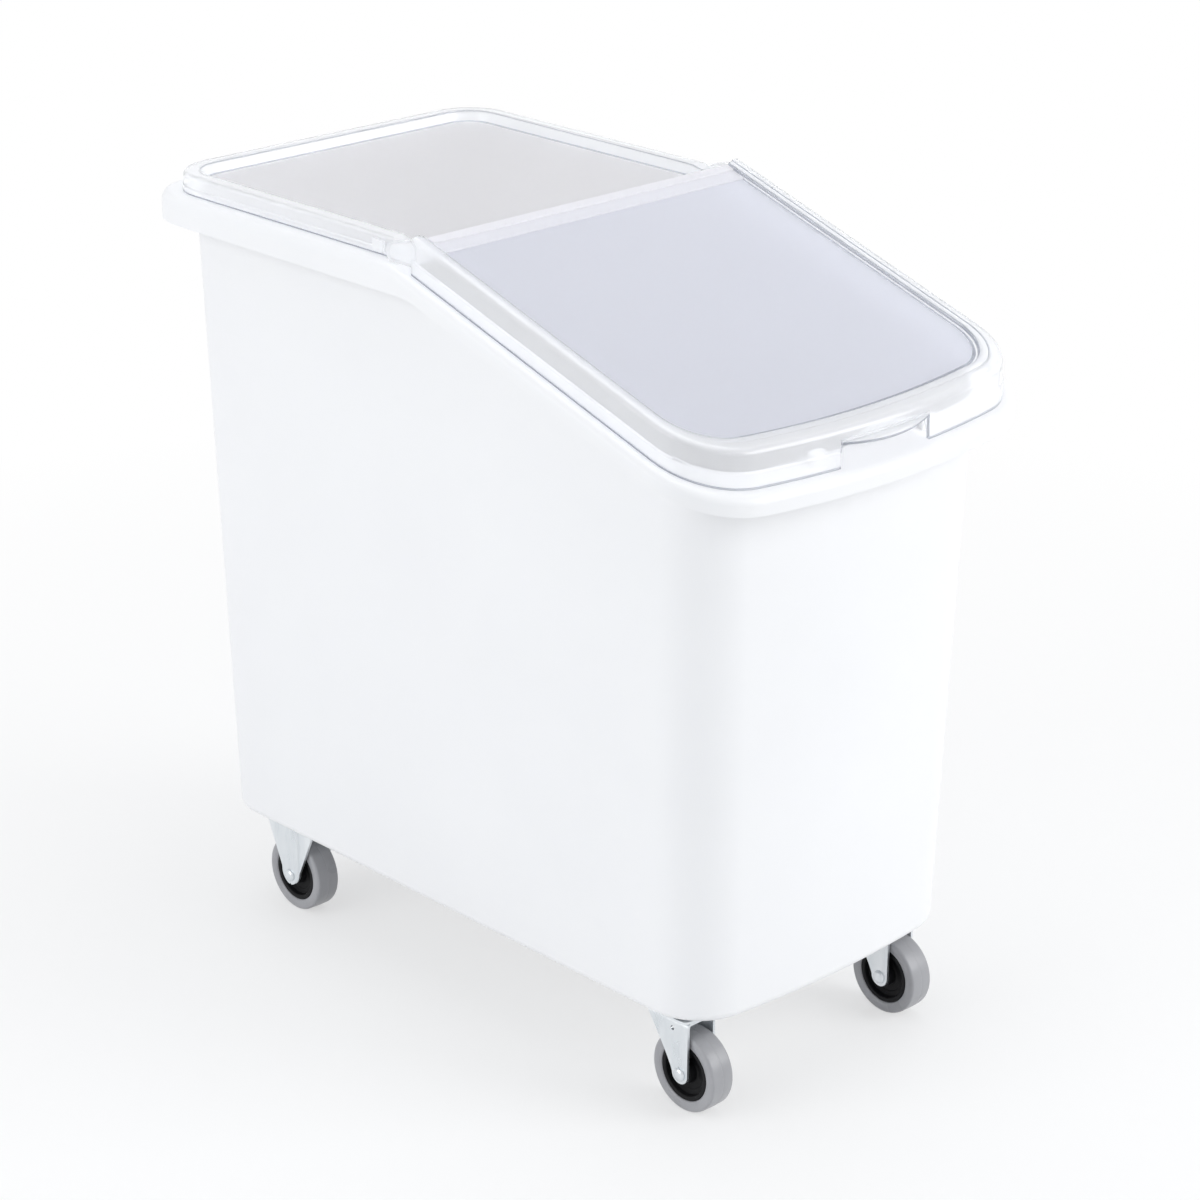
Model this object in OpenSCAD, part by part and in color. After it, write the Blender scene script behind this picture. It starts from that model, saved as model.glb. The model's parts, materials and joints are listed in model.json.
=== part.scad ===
// Rolling flour bin: a drafted white tub on four casters, closed by a clear rear cover that
// lifts off and a clear front lid that hinges on the cover.
// Millimetres, +Z up. The origin lies on the floor under the middle of the rim, and the low
// front end faces -Y.

/* [Tub rim] */
// Length of the rim over its flange
rim_length = 745; // [735:1:790]
// Width of the rim over its flange
rim_width = 418; // [412:1:440]
// Height of the level rear rim above the floor
rim_height = 714; // [680:1:760]
// Fall of the front rim, in degrees below level
rim_slope = 17.6; // [15:0.1:19]
// Plan radius of the rim's front corners
rim_corner_front = 74; // [68:1:80]
// Plan radius of the rim's rear corners
rim_corner_rear = 60; // [54:1:66]
// Plan radius of the rim's bowed front
front_bow = 1090; // [900:10:1400]
// Distance of the rim's bend behind the middle
bend_y = 20; // [16:1:24]
// Radius of the rim's bend
bend_radius = 70; // [40:1:85]
// Depth of the flange's skirt along the level rim
flange_depth = 24; // [21:1:30]
// Depth of the flange's skirt along the sloping rim
flange_depth_front = 16; // [12:1:19]
// Wall of the tub and of its flange
tub_wall = 4; // [3:0.5:5]

/* [Tub body] */
// How far the rim overhangs the base at each side
side_overhang = 42; // [39:0.5:47]
// How far the rim overhangs the base at the front
front_overhang = 45.5; // [41:0.5:52]
// How far the rim overhangs the base at the rear
rear_overhang = 41.5; // [37:0.5:50]
// Draft of the tub's walls, in degrees
wall_draft = 1.4; // [1:0.1:1.8]
// Plan radius of the tub's front corners
body_corner_front = 56; // [44:1:62]
// Plan radius of the tub's rear corners
body_corner_rear = 44; // [36:1:56]
// Radius of the tub's bottom edge
base_edge = 9; // [7:0.5:16]
// Thickness of the tub's floor
tub_floor = 5; // [4:0.5:7]
// Width of each raised lug on the front rim
lug_width = 18; // [12:1:26]
// Distance between the lugs, which stand either side of the grip
lug_pitch = 136; // [120:1:170]
// Height of the lugs above the rim
lug_height = 11; // [8:0.5:16]
// Thickness of the lugs
lug_thickness = 7; // [4:1:9]

/* [Rear cover] */
// Margin of rim left showing beside the rear cover
cover_side_margin = 18.5; // [15:0.5:21.5]
// Height of the rear cover above the rim
cover_height = 18; // [17:1:22]
// Margin of rim left showing behind the rear cover
cover_margin = 15.5; // [12:0.5:20]
// Plan radius of the rear cover's corners
cover_corner = 48; // [40:1:54]
// Width of the raised border round the rear cover's panel
cover_border = 20; // [17:1:22]
// Depth of the panel below the border's top
cover_recess = 10; // [7:1:11]
// Distance of the rear cover's front edge behind the middle
cover_front = 3; // [2:0.5:4]
// Depth of the locating lip below the rim
lip_depth = 5; // [3:0.5:8]
// Wall of both lids
lid_wall = 3; // [2.5:0.25:3.5]

/* [Front lid] */
// How far the front lid's skirts stand outside the rear cover's
lid_overhang = 8.5; // [7:0.5:10]
// Height of the front lid above the sloping rim
lid_height = 33; // [31:1:36]
// Margin of rim left showing ahead of the front lid
lid_margin = 10.5; // [9.5:0.5:16]
// Plan radius of the front lid's corners
lid_corner = 64; // [60:1:68]
// Width of the raised border round the front lid's panel
lid_border = 18; // [16:1:21]
// Depth of the panel below the border's top
lid_recess = 6; // [4:0.5:8]
// Width of the grip notch in the front skirt
notch_width = 108; // [90:1:118]
// Height of the grip notch above the rim
notch_height = 22; // [20:0.5:24]
// How far the lens-shaped grip lip bulges each way
grip_bulge = 9; // [6:0.5:9]

/* [Hinge] */
// Distance of the hinge axis behind the middle
hinge_y = 27; // [26:0.5:30]
// Height of the hinge axis above the rim
hinge_rise = 9; // [8.9:0.1:9.5]
// Radius of the pivot stubs
stub_radius = 4; // [3:0.25:4.5]
// Radius of the round ears that carry the stubs
ear_radius = 6; // [5.5:0.25:6]

/* [Casters] */
// Height of a caster, from the floor to the tub
caster_height = 97; // [94:1:110]
// Distance of a caster's centre inside the rim's side
caster_inset = 79; // [77:1:89]
// Distance of a front caster's centre inside the rim's front
front_setback = 121.5; // [119:0.5:132]
// Distance of a rear caster's centre inside the rim's rear
rear_setback = 117.5; // [115:0.5:132]
// Distance of a front axle ahead of its swivel axis
caster_trail = 28; // [22:1:32]
// How far a caster's top plate runs past its bolts, front and back
plate_margin = 8; // [7:0.5:10]
// Width of a caster's top plate
plate_width = 54; // [50:1:58]
// Thickness of the pressed steel
steel = 2.5; // [2:0.25:3]
// Distance between a front caster's bolts, front to back
front_bolt_pitch = 72; // [68:1:74]
// Distance between a rear caster's bolts, front to back
rear_bolt_pitch = 88; // [84:1:90]
// Distance between a caster's bolts, across
bolt_pitch_x = 38; // [34:1:40]
// Radius of the bolts
bolt_radius = 3; // [2.5:0.25:3.5]

/* [Wheels] */
// Radius of a wheel over its tread
wheel_radius = 37.5; // [34:0.5:40]
// Width of the tread
tread_width = 25; // [22:0.5:26]
// Depth of the tread, from the hub to the floor
tread_depth = 10.5; // [8:0.5:12]
// Radius of the tread's shoulders
tread_shoulder = 2.5; // [1.5:0.5:6]
// Radius of an axle
axle_radius = 4; // [3:0.25:4.5]
// Wall of the steel bush that turns on an axle
bush_wall = 2; // [1.5:0.25:2.5]
// Distance between the legs of a fork
fork_gap = 29; // [28:0.5:32]

/* [Hidden] */
$fn = 96;

// Fineness of the hulled tub walls, and flats on the round bends and the bowed front
hull_fn = 48;
bend_steps = 6;
bow_steps = 4;
bow_fn = 720;

// Overrun of every cut past the face that it opens
overrun = 1;

// Clearances: lid on rim, lid beside cover, pin in bore, pressed pieces, bolt in hole, rolling balls
seat_gap = 0.3;
hinge_gap = 0.5;
pin_gap = 0.05;
press_gap = 0.02;
bolt_gap = 0.3;
ball_gap = 0.05;

// Rim and body
rim_front = -rim_length / 2;
rim_rear = rim_length / 2;
bow_centre = rim_front + front_bow;
base_width = rim_width - 2 * side_overhang;
base_front = rim_rear - front_overhang;
base_rear = rim_rear - rear_overhang;
reach = rim_length;
flange_low = rim_height - flange_depth;
flange_bend_y = bend_y - (flange_depth - flange_depth_front) / tan(rim_slope);
tub_top = rim_height + overrun;
lug_setback = front_overhang - tan(wall_draft) * (rim_height - caster_height);

// Rear cover
cover_rear = rim_rear - cover_margin;
cover_half = rim_width / 2 - cover_side_margin;
cover_bend_y = hinge_y + stub_radius;
cover_top = rim_height + cover_height;
cover_panel = cover_top - cover_recess;

// Front lid, whose skirts stand outside the rear cover's
lid_half = cover_half + lid_overhang;
lid_front = rim_front + lid_margin;
lid_rear = 0;
lid_top = rim_height + lid_height;
lid_panel = lid_top - lid_recess;
grip_radius = (pow(notch_width / 2, 2) + pow(grip_bulge, 2)) / (2 * grip_bulge);

// Hinge
hinge_z = rim_height + hinge_rise;
boss_radius = stub_radius + lid_wall;
boss_length = 2 * lid_wall;
ear_face = cover_half + hinge_gap;
ear_thickness = lid_overhang - hinge_gap;
ear_root = 5;
stub_reach = boss_length + hinge_gap;

// Casters, measured down from the tub's underside
caster_x = rim_width / 2 - caster_inset;
caster_front = front_setback - rim_rear;
caster_rear = rim_rear - rear_setback;
axle_drop = caster_height - wheel_radius;
fork_half = fork_gap / 2 + steel;
leg_boss = 2.3 * axle_radius;
rigid_boss = 3.2 * axle_radius;
rigid_boss_lift = 1.1 * axle_radius;
leg_rib = steel / 2;
rigid_leg_half = rear_bolt_pitch / 2 - 2.6 * bolt_radius;
swivel_leg_rear = 0.62 * fork_half;
ball_radius = 2.4;
ball_count = 12;
ball_circle = 12.4;
ball_level = -steel - ball_gap - ball_radius;
crown_top = ball_level - ball_radius - ball_gap;
crown_low = crown_top - steel;
cup_clear = 0.5;
cup_wall = 1.4;
kingpin_radius = 5;
kingpin_head = 8.5;
kingpin_head_depth = 4;
kingpin_gap = 0.3;
peep_radius = 2.2;
peep_drop = 3 * peep_radius;
axle_head = 1.55 * axle_radius;
axle_head_depth = 0.75 * axle_radius;
head_radius = 1.8 * bolt_radius;
head_depth = 0.8 * bolt_radius;
nut_radius = 1.9 * bolt_radius;
nut_height = 1.6 * bolt_radius;
dome_radius = 1.5 * bolt_radius;
seat_radius = nut_radius + bolt_radius;
seat_height = bolt_radius;

// Wheels
bush_radius = axle_radius + pin_gap + bush_wall;
hub_radius = wheel_radius - tread_depth;
hub_half = tread_width / 2 - tread_shoulder / 3;
hub_rim = 0.42 * tread_depth;
hub_web_half = 0.22 * tread_width;
hub_boss = bush_radius + 2 * bush_wall;
wheel_side_gap = 0.4;
boss_half = fork_gap / 2 - wheel_side_gap;

// Colours as the photograph shows them
tub_colour = "white";
clear_colour = [0.86, 0.88, 0.92, 0.45];
zinc_colour = [0.78, 0.82, 0.85];
tread_colour = [0.62, 0.62, 0.65];
hub_colour = [0.08, 0.08, 0.09];

// Shapes shared by the tub and its lids

// Height of a bent surface at a place along the bin
function bent_z(level, bend, y) = y >= bend ? level : level - tan(rim_slope) * (bend - y);

// Side view of a bent surface from front to rear, level behind the bend, with a round bend
function bent_line(level, bend) = concat(
    [[-reach, bent_z(level, bend, -reach)]],
    [for (step = [bend_steps:-1:0])
        let (turn = rim_slope * step / bend_steps)
        [bend + bend_radius * (tan(rim_slope / 2) - sin(turn)),
         level - bend_radius * (1 - cos(turn))]],
    [[reach, level]]);

// Side view of a level surface
function level_line(level) = [[-reach, level], [reach, level]];

// A bent slab between two side-view lines
module bent_slab(lower, upper) {
    rotate([90, 0, 90])
        linear_extrude(2 * rim_width, center = true)
            polygon(concat(lower, [for (i = [len(upper) - 1:-1:0]) upper[i]]));
}

// Place along the bin of a front corner's centre, from which the corner runs smoothly into the bow
function corner_back(half, front, corner) =
    bow_centre - sqrt(pow(bow_centre - front - corner, 2) - pow(half - corner, 2));

// Round front corners and the bowed front between them, up to the corners' centres
module bowed_front(half, front, corner, back) {
    across = half - corner;
    bow = bow_centre - front;
    stretch = (bow + overrun) / (bow_centre - back);
    for (side = [-1, 1])
        translate([side * across, back])
            circle(corner);
    intersection() {
        translate([0, bow_centre])
            circle(bow, $fn = bow_fn);
        polygon([[-across, back], [across, back],
                 [across * stretch, bow_centre + (back - bow_centre) * stretch],
                 [-across * stretch, bow_centre + (back - bow_centre) * stretch]]);
    }
}

// Plan of a rounded rectangle with a bowed front, whose front or rear corners may be square
module plan(half, front, rear, front_corner, rear_corner) {
    back = front_corner > 0 ? corner_back(half, front, front_corner) : front;
    translate([-half, back])
        square([2 * half, rear - rear_corner - back]);
    if (front_corner > 0)
        bowed_front(half, front, front_corner, back);
    if (rear_corner > 0) {
        translate([rear_corner - half, rear - rear_corner])
            square([2 * (half - rear_corner), rear_corner]);
        for (side = [-1, 1])
            translate([side * (half - rear_corner), rear - rear_corner])
                circle(rear_corner);
    }
}

module rim_prism(inset) {
    linear_extrude(tub_top + lid_height)
        plan(rim_width / 2 - inset, rim_front + inset, rim_rear - inset,
             rim_corner_front - inset, rim_corner_rear - inset);
}

module cover_prism(inset) {
    linear_extrude(tub_top + lid_height)
        plan(cover_half - inset, cover_front + inset, cover_rear - inset, 0, cover_corner - inset);
}

module lid_prism(inset, rear) {
    linear_extrude(tub_top + lid_height)
        plan(lid_half - inset, lid_front + inset, rear, lid_corner - inset, 0);
}

// Tub

// Spread of a drafted wall at a height
function spread(z) = tan(wall_draft) * (z - caster_height);

// Centre of a round rear corner at a height
function rear_place(side, z) =
    [side * (base_width / 2 + spread(z) - body_corner_rear), base_rear + spread(z) - body_corner_rear, z];

// Centre of a round along the bowed front at a height, from the left corner at -1 to the right at 1
function front_place(share, z) =
    let (bow = bow_centre + base_front + spread(z) - body_corner_front,
         turn = share * asin((base_width / 2 + spread(z) - body_corner_front) / bow))
    [bow * sin(turn), bow_centre - bow * cos(turn), z];

// A round foot with a round bottom edge, and the round top above it
module upright(foot, head, radius, edge) {
    translate(foot)
        rotate_extrude($fn = hull_fn)
            translate([radius - edge, 0])
                circle(edge, $fn = hull_fn / 2);
    translate([head[0], head[1], head[2] - overrun])
        cylinder(overrun, r = radius, $fn = hull_fn);
}

// Drafted body with round corners and a round bottom edge, drawn in by a wall
module body_form(inset, bottom, top) {
    edge = base_edge - inset;
    low = bottom + edge;
    hull() {
        for (side = [-1, 1])
            upright(rear_place(side, low), rear_place(side, top), body_corner_rear - inset, edge);
        for (step = [-bow_steps:bow_steps])
            upright(front_place(step / bow_steps, low), front_place(step / bow_steps, top),
                    body_corner_front - inset, edge);
    }
}

module flange() {
    difference() {
        intersection() {
            rim_prism(0);
            bent_slab(bent_line(flange_low, flange_bend_y), bent_line(rim_height, bend_y));
        }
        intersection() {
            rim_prism(tub_wall);
            bent_slab(level_line(0), bent_line(rim_height - tub_wall, bend_y));
        }
    }
}

// Raised lugs behind the front lid's skirt, either side of the grip notch, kept as a node beside the rim
module lugs() {
    color(tub_colour)
        for (side = [-1, 1])
            intersection() {
                translate([(side * lug_pitch - lug_width) / 2, rim_front + lug_setback - lug_thickness, 0])
                    cube([lug_width, lug_thickness, tub_top]);
                bent_slab(bent_line(rim_height + press_gap, bend_y), bent_line(rim_height + lug_height, bend_y));
            }
}

module at_bolts(pitch) {
    for (side = [-1, 1])
        for (end = [-1, 1])
            translate([side * bolt_pitch_x / 2, end * pitch / 2, 0])
                children();
}

// Something at every bolt of the four casters, measured up from the tub's underside
module at_all_bolts() {
    for (side = [-1, 1]) {
        translate([side * caster_x, caster_front, caster_height])
            at_bolts(front_bolt_pitch)
                children();
        translate([side * caster_x, caster_rear, caster_height])
            at_bolts(rear_bolt_pitch)
                children();
    }
}

// The moulding's flange, kept as a node of its own beside the walls
module rim() {
    color(tub_colour)
        difference() {
            flange();
            body_form(-press_gap, caster_height, tub_top + overrun);
        }
}

module tub() {
    color(tub_colour)
        difference() {
            union() {
                difference() {
                    intersection() {
                        body_form(0, caster_height, tub_top);
                        bent_slab(level_line(0), bent_line(rim_height, bend_y));
                    }
                    body_form(tub_wall, caster_height + tub_floor, tub_top + overrun);
                }
                at_all_bolts()
                    translate([0, 0, tub_floor - overrun])
                        cylinder(seat_height + overrun, r = seat_radius);
            }
            at_all_bolts()
                translate([0, 0, -overrun])
                    cylinder(tub_floor + seat_height + 2 * overrun, r = bolt_radius + bolt_gap);
        }
}

// Lids

// Something on the hinge axis, drawn along +X from the middle
module on_hinge(from) {
    translate([from, hinge_y, hinge_z])
        rotate([0, 90, 0])
            children();
}

module rear_cover() {
    color(clear_colour)
        difference() {
            union() {
                difference() {
                    intersection() {
                        cover_prism(0);
                        bent_slab(level_line(rim_height + seat_gap), level_line(cover_top));
                        bent_slab(level_line(0), bent_line(cover_top, cover_bend_y));
                    }
                    intersection() {
                        difference() {
                            cover_prism(lid_wall);
                            cover_prism(cover_border - lid_wall);
                        }
                        bent_slab(level_line(0), bent_line(cover_top - lid_wall, cover_bend_y));
                    }
                    intersection() {
                        cover_prism(cover_border);
                        bent_slab(level_line(cover_panel), level_line(cover_top + overrun));
                    }
                    intersection() {
                        cover_prism(lid_wall);
                        bent_slab(level_line(0), level_line(cover_panel - lid_wall));
                    }
                }
                intersection() {
                    difference() {
                        cover_prism(cover_border - lid_wall / 2);
                        cover_prism(cover_border + lid_wall / 2);
                    }
                    bent_slab(level_line(rim_height - lip_depth), level_line(cover_panel - lid_wall / 2));
                }
                for (side = [0, 1])
                    mirror([side, 0, 0])
                        on_hinge(cover_half - boss_length)
                            cylinder(boss_length, r = boss_radius);
            }
            for (side = [0, 1])
                mirror([side, 0, 0])
                    on_hinge(cover_half - boss_length - overrun)
                        cylinder(boss_length + 2 * overrun, r = stub_radius + pin_gap);
        }
}

// Ear beside the rear cover, with the stub that turns in the cover's boss
module pivot_ear() {
    ear_top = bent_z(lid_top, bend_y, lid_rear) - lid_wall;
    translate([ear_face, 0, 0])
        rotate([90, 0, 90])
            linear_extrude(ear_thickness) {
                translate([hinge_y, hinge_z])
                    circle(ear_radius);
                polygon([
                    [hinge_y, hinge_z - ear_radius],
                    [hinge_y, hinge_z + ear_radius],
                    [lid_rear, ear_top],
                    [lid_rear - ear_root, ear_top - ear_root],
                    [lid_rear - ear_root, hinge_z - ear_radius]]);
            }
    on_hinge(ear_face - stub_reach)
        cylinder(stub_reach + lid_wall, r = stub_radius);
}

// Lens-shaped lip over the grip notch
module grip_lip() {
    lip_top = bent_z(rim_height, bend_y, lid_front) + notch_height + lid_wall;
    translate([0, lid_front, lip_top - lid_wall])
        linear_extrude(lid_wall)
            intersection() {
                translate([0, grip_radius - grip_bulge])
                    circle(grip_radius);
                translate([0, grip_bulge - grip_radius])
                    circle(grip_radius);
            }
}

module front_lid() {
    notch_top = bent_z(rim_height, bend_y, lid_front) + notch_height;
    color(clear_colour) {
        difference() {
            intersection() {
                lid_prism(0, lid_rear);
                bent_slab(bent_line(rim_height + seat_gap, bend_y), bent_line(lid_top, bend_y));
            }
            intersection() {
                difference() {
                    lid_prism(lid_wall, lid_rear + overrun);
                    lid_prism(lid_border - lid_wall, lid_rear + 2 * overrun);
                }
                bent_slab(level_line(0), bent_line(lid_top - lid_wall, bend_y));
            }
            intersection() {
                lid_prism(lid_border, lid_rear + overrun);
                bent_slab(bent_line(lid_panel, bend_y), bent_line(lid_top + overrun, bend_y));
            }
            intersection() {
                lid_prism(lid_wall, lid_rear + overrun);
                bent_slab(level_line(0), bent_line(lid_panel - lid_wall, bend_y));
            }
            translate([-notch_width / 2, lid_front - overrun, 0])
                cube([notch_width, 3 * lid_wall, notch_top]);
        }
        grip_lip();
        for (side = [0, 1])
            mirror([side, 0, 0])
                pivot_ear();
    }
}

// Casters: each is drawn with its centre at the origin, hanging from the tub's underside

module front_left() {
    translate([-caster_x, caster_front, caster_height])
        children();
}

module front_right() {
    translate([caster_x, caster_front, caster_height])
        children();
}

module rear_left() {
    translate([-caster_x, caster_rear, caster_height])
        children();
}

module rear_right() {
    translate([caster_x, caster_rear, caster_height])
        children();
}

// Something on a caster's axle, drawn along X and centred on the wheel
module on_axle(trail) {
    translate([0, -trail, -axle_drop])
        rotate([0, 90, 0])
            children();
}

module plate_blank(pitch) {
    translate([-plate_width / 2, -pitch / 2 - plate_margin, -steel])
        cube([plate_width, pitch + 2 * plate_margin, steel]);
}

module bolt_holes(pitch) {
    at_bolts(pitch)
        translate([0, 0, -steel - overrun])
            cylinder(steel + 2 * overrun, r = bolt_radius + bolt_gap);
}

// A plate standing along Y, from its inner face at x outward
module leg(from, thickness) {
    translate([from, 0, 0])
        rotate([90, 0, 90])
            linear_extrude(thickness)
                children();
}

module rigid_leg_outline(half) {
    boss_level = rigid_boss_lift - axle_drop;
    polygon([[-half, 0], [half, 0], [rigid_boss, boss_level], [-rigid_boss, boss_level]]);
    translate([0, boss_level])
        circle(rigid_boss);
}

module rigid_fork() {
    color(zinc_colour)
        difference() {
            union() {
                plate_blank(rear_bolt_pitch);
                for (side = [0, 1])
                    mirror([side, 0, 0]) {
                        leg(fork_gap / 2, steel)
                            rigid_leg_outline(rigid_leg_half);
                        leg(fork_half, leg_rib)
                            rigid_leg_outline(rigid_boss);
                    }
            }
            bolt_holes(rear_bolt_pitch);
            on_axle(0)
                cylinder(2 * plate_width, r = axle_radius + press_gap, center = true);
        }
}

module swivel_fork() {
    crown_front = -caster_trail - leg_boss;
    color(zinc_colour)
        difference() {
            union() {
                translate([-fork_half, crown_front, crown_low])
                    cube([2 * fork_half, swivel_leg_rear - crown_front, steel]);
                translate([0, 0, crown_low])
                    cylinder(steel, r = fork_half);
                for (side = [0, 1])
                    mirror([side, 0, 0])
                        leg(fork_gap / 2, steel) {
                            polygon([[crown_front, crown_top], [swivel_leg_rear, crown_top],
                                     [leg_boss - caster_trail, -axle_drop], [crown_front, -axle_drop]]);
                            translate([-caster_trail, -axle_drop])
                                circle(leg_boss);
                        }
            }
            translate([0, 0, crown_low - overrun])
                cylinder(steel + 2 * overrun, r = kingpin_radius + pin_gap);
            on_axle(caster_trail)
                cylinder(2 * plate_width, r = axle_radius + press_gap, center = true);
            translate([0, leg_boss - caster_trail, crown_low - peep_drop])
                rotate([0, 90, 0])
                    cylinder(2 * plate_width, r = peep_radius, center = true);
        }
}

module swivel_plate() {
    cup_depth = -crown_top - steel - cup_clear;
    cup_inner = ball_circle + ball_radius + cup_clear;
    color(zinc_colour)
        difference() {
            union() {
                plate_blank(front_bolt_pitch);
                translate([0, 0, -steel - cup_depth])
                    difference() {
                        cylinder(cup_depth + steel / 2, r = cup_inner + cup_wall);
                        translate([0, 0, -overrun])
                            cylinder(cup_depth + overrun, r = cup_inner);
                    }
            }
            bolt_holes(front_bolt_pitch);
            translate([0, 0, -steel - overrun])
                cylinder(steel + 2 * overrun, r = kingpin_radius + press_gap);
        }
}

module swivel_balls() {
    color(zinc_colour)
        for (i = [0:ball_count - 1])
            rotate([0, 0, i * 360 / ball_count])
                translate([ball_circle, 0, ball_level])
                    sphere(ball_radius);
}

module kingpin() {
    color(zinc_colour) {
        translate([0, 0, crown_low - kingpin_gap - kingpin_head_depth])
            cylinder(kingpin_head_depth, r = kingpin_head);
        translate([0, 0, crown_low - kingpin_gap - kingpin_head_depth])
            cylinder(kingpin_head_depth + kingpin_gap - crown_low, r = kingpin_radius);
    }
}

// Riveted axle, headed against the outer faces of the legs
module axle(trail, seat) {
    color(zinc_colour)
        on_axle(trail) {
            cylinder(2 * seat + axle_head_depth, r = axle_radius, center = true);
            for (side = [0, 1])
                mirror([0, 0, side])
                    translate([0, 0, seat])
                        cylinder(axle_head_depth, axle_head, axle_head - axle_head_depth / 3);
        }
}

module bush(trail) {
    color(zinc_colour)
        on_axle(trail)
            difference() {
                cylinder(2 * boss_half, r = bush_radius, center = true);
                cylinder(2 * fork_gap, r = axle_radius + pin_gap, center = true);
            }
}

module hub(trail) {
    color(hub_colour)
        on_axle(trail)
            difference() {
                union() {
                    cylinder(2 * hub_half, r = hub_radius, center = true);
                    cylinder(2 * boss_half, r = hub_boss, center = true);
                }
                for (side = [0, 1])
                    mirror([0, 0, side])
                        translate([0, 0, hub_web_half])
                            difference() {
                                cylinder(fork_gap, r = hub_radius - hub_rim);
                                translate([0, 0, -overrun])
                                    cylinder(fork_gap + 2 * overrun, r = hub_boss);
                            }
                cylinder(2 * fork_gap, r = bush_radius + press_gap, center = true);
            }
}

module tyre(trail) {
    bore = hub_radius + press_gap;
    half = tread_width / 2;
    color(tread_colour)
        on_axle(trail)
            rotate_extrude() {
                translate([bore, -half])
                    square([wheel_radius - tread_shoulder - bore, tread_width]);
                translate([bore, tread_shoulder - half])
                    square([wheel_radius - bore, tread_width - 2 * tread_shoulder]);
                for (side = [-1, 1])
                    translate([wheel_radius - tread_shoulder, side * (half - tread_shoulder)])
                        circle(tread_shoulder);
            }
}

// Button-headed bolts, up through a top plate and the tub's floor
module bolts(pitch) {
    color(zinc_colour)
        at_bolts(pitch) {
            translate([0, 0, -steel - head_depth])
                cylinder(head_depth, r = head_radius);
            translate([0, 0, -steel - head_depth])
                cylinder(steel + head_depth + tub_floor + seat_height + nut_height, r = bolt_radius);
        }
}

// Domed nuts on the raised seats inside the tub
module nuts(pitch) {
    color(zinc_colour)
        at_bolts(pitch)
            translate([0, 0, tub_floor + seat_height])
                difference() {
                    union() {
                        cylinder(nut_height, r = nut_radius, $fn = 6);
                        translate([0, 0, nut_height])
                            intersection() {
                                sphere(dome_radius);
                                translate([0, 0, -overrun])
                                    cylinder(dome_radius + 2 * overrun, r = nut_radius);
                            }
                    }
                    translate([0, 0, -overrun])
                        cylinder(nut_height + 2 * overrun, r = bolt_radius + pin_gap);
                }
}

tub();
rim();
lugs();
rear_cover();
front_lid();

front_left() swivel_plate();  // front_left_plate
front_left() swivel_balls();  // front_left_balls
front_left() kingpin();  // front_left_kingpin
front_left() swivel_fork();  // front_left_fork
front_left() axle(caster_trail, fork_half);  // front_left_axle
front_left() bush(caster_trail);  // front_left_bush
front_left() hub(caster_trail);  // front_left_hub
front_left() tyre(caster_trail);  // front_left_tyre
front_left() bolts(front_bolt_pitch);  // front_left_bolts
front_left() nuts(front_bolt_pitch);  // front_left_nuts

front_right() swivel_plate();  // front_right_plate
front_right() swivel_balls();  // front_right_balls
front_right() kingpin();  // front_right_kingpin
front_right() swivel_fork();  // front_right_fork
front_right() axle(caster_trail, fork_half);  // front_right_axle
front_right() bush(caster_trail);  // front_right_bush
front_right() hub(caster_trail);  // front_right_hub
front_right() tyre(caster_trail);  // front_right_tyre
front_right() bolts(front_bolt_pitch);  // front_right_bolts
front_right() nuts(front_bolt_pitch);  // front_right_nuts

rear_left() rigid_fork();  // rear_left_fork
rear_left() axle(0, fork_half + leg_rib);  // rear_left_axle
rear_left() bush(0);  // rear_left_bush
rear_left() hub(0);  // rear_left_hub
rear_left() tyre(0);  // rear_left_tyre
rear_left() bolts(rear_bolt_pitch);  // rear_left_bolts
rear_left() nuts(rear_bolt_pitch);  // rear_left_nuts

rear_right() rigid_fork();  // rear_right_fork
rear_right() axle(0, fork_half + leg_rib);  // rear_right_axle
rear_right() bush(0);  // rear_right_bush
rear_right() hub(0);  // rear_right_hub
rear_right() tyre(0);  // rear_right_tyre
rear_right() bolts(rear_bolt_pitch);  // rear_right_bolts
rear_right() nuts(rear_bolt_pitch);  // rear_right_nuts
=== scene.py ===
"""Rolling flour bin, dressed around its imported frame.

A drafted white tub stands on two rigid and two swivel casters. A clear rear cover lies on the
level half of the rim, and a clear front lid with a grip notch hinges on it over the sloping half.
Everything is in metres in the frame's own axes: +Z up, the low front end facing -Y.
"""

from __future__ import annotations

import json
import logging
import math
from dataclasses import dataclass, replace
from enum import Enum, IntEnum
from functools import lru_cache
from typing import Any, Callable, Sequence

import bmesh
import bpy
from mathutils import Matrix, Vector

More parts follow.
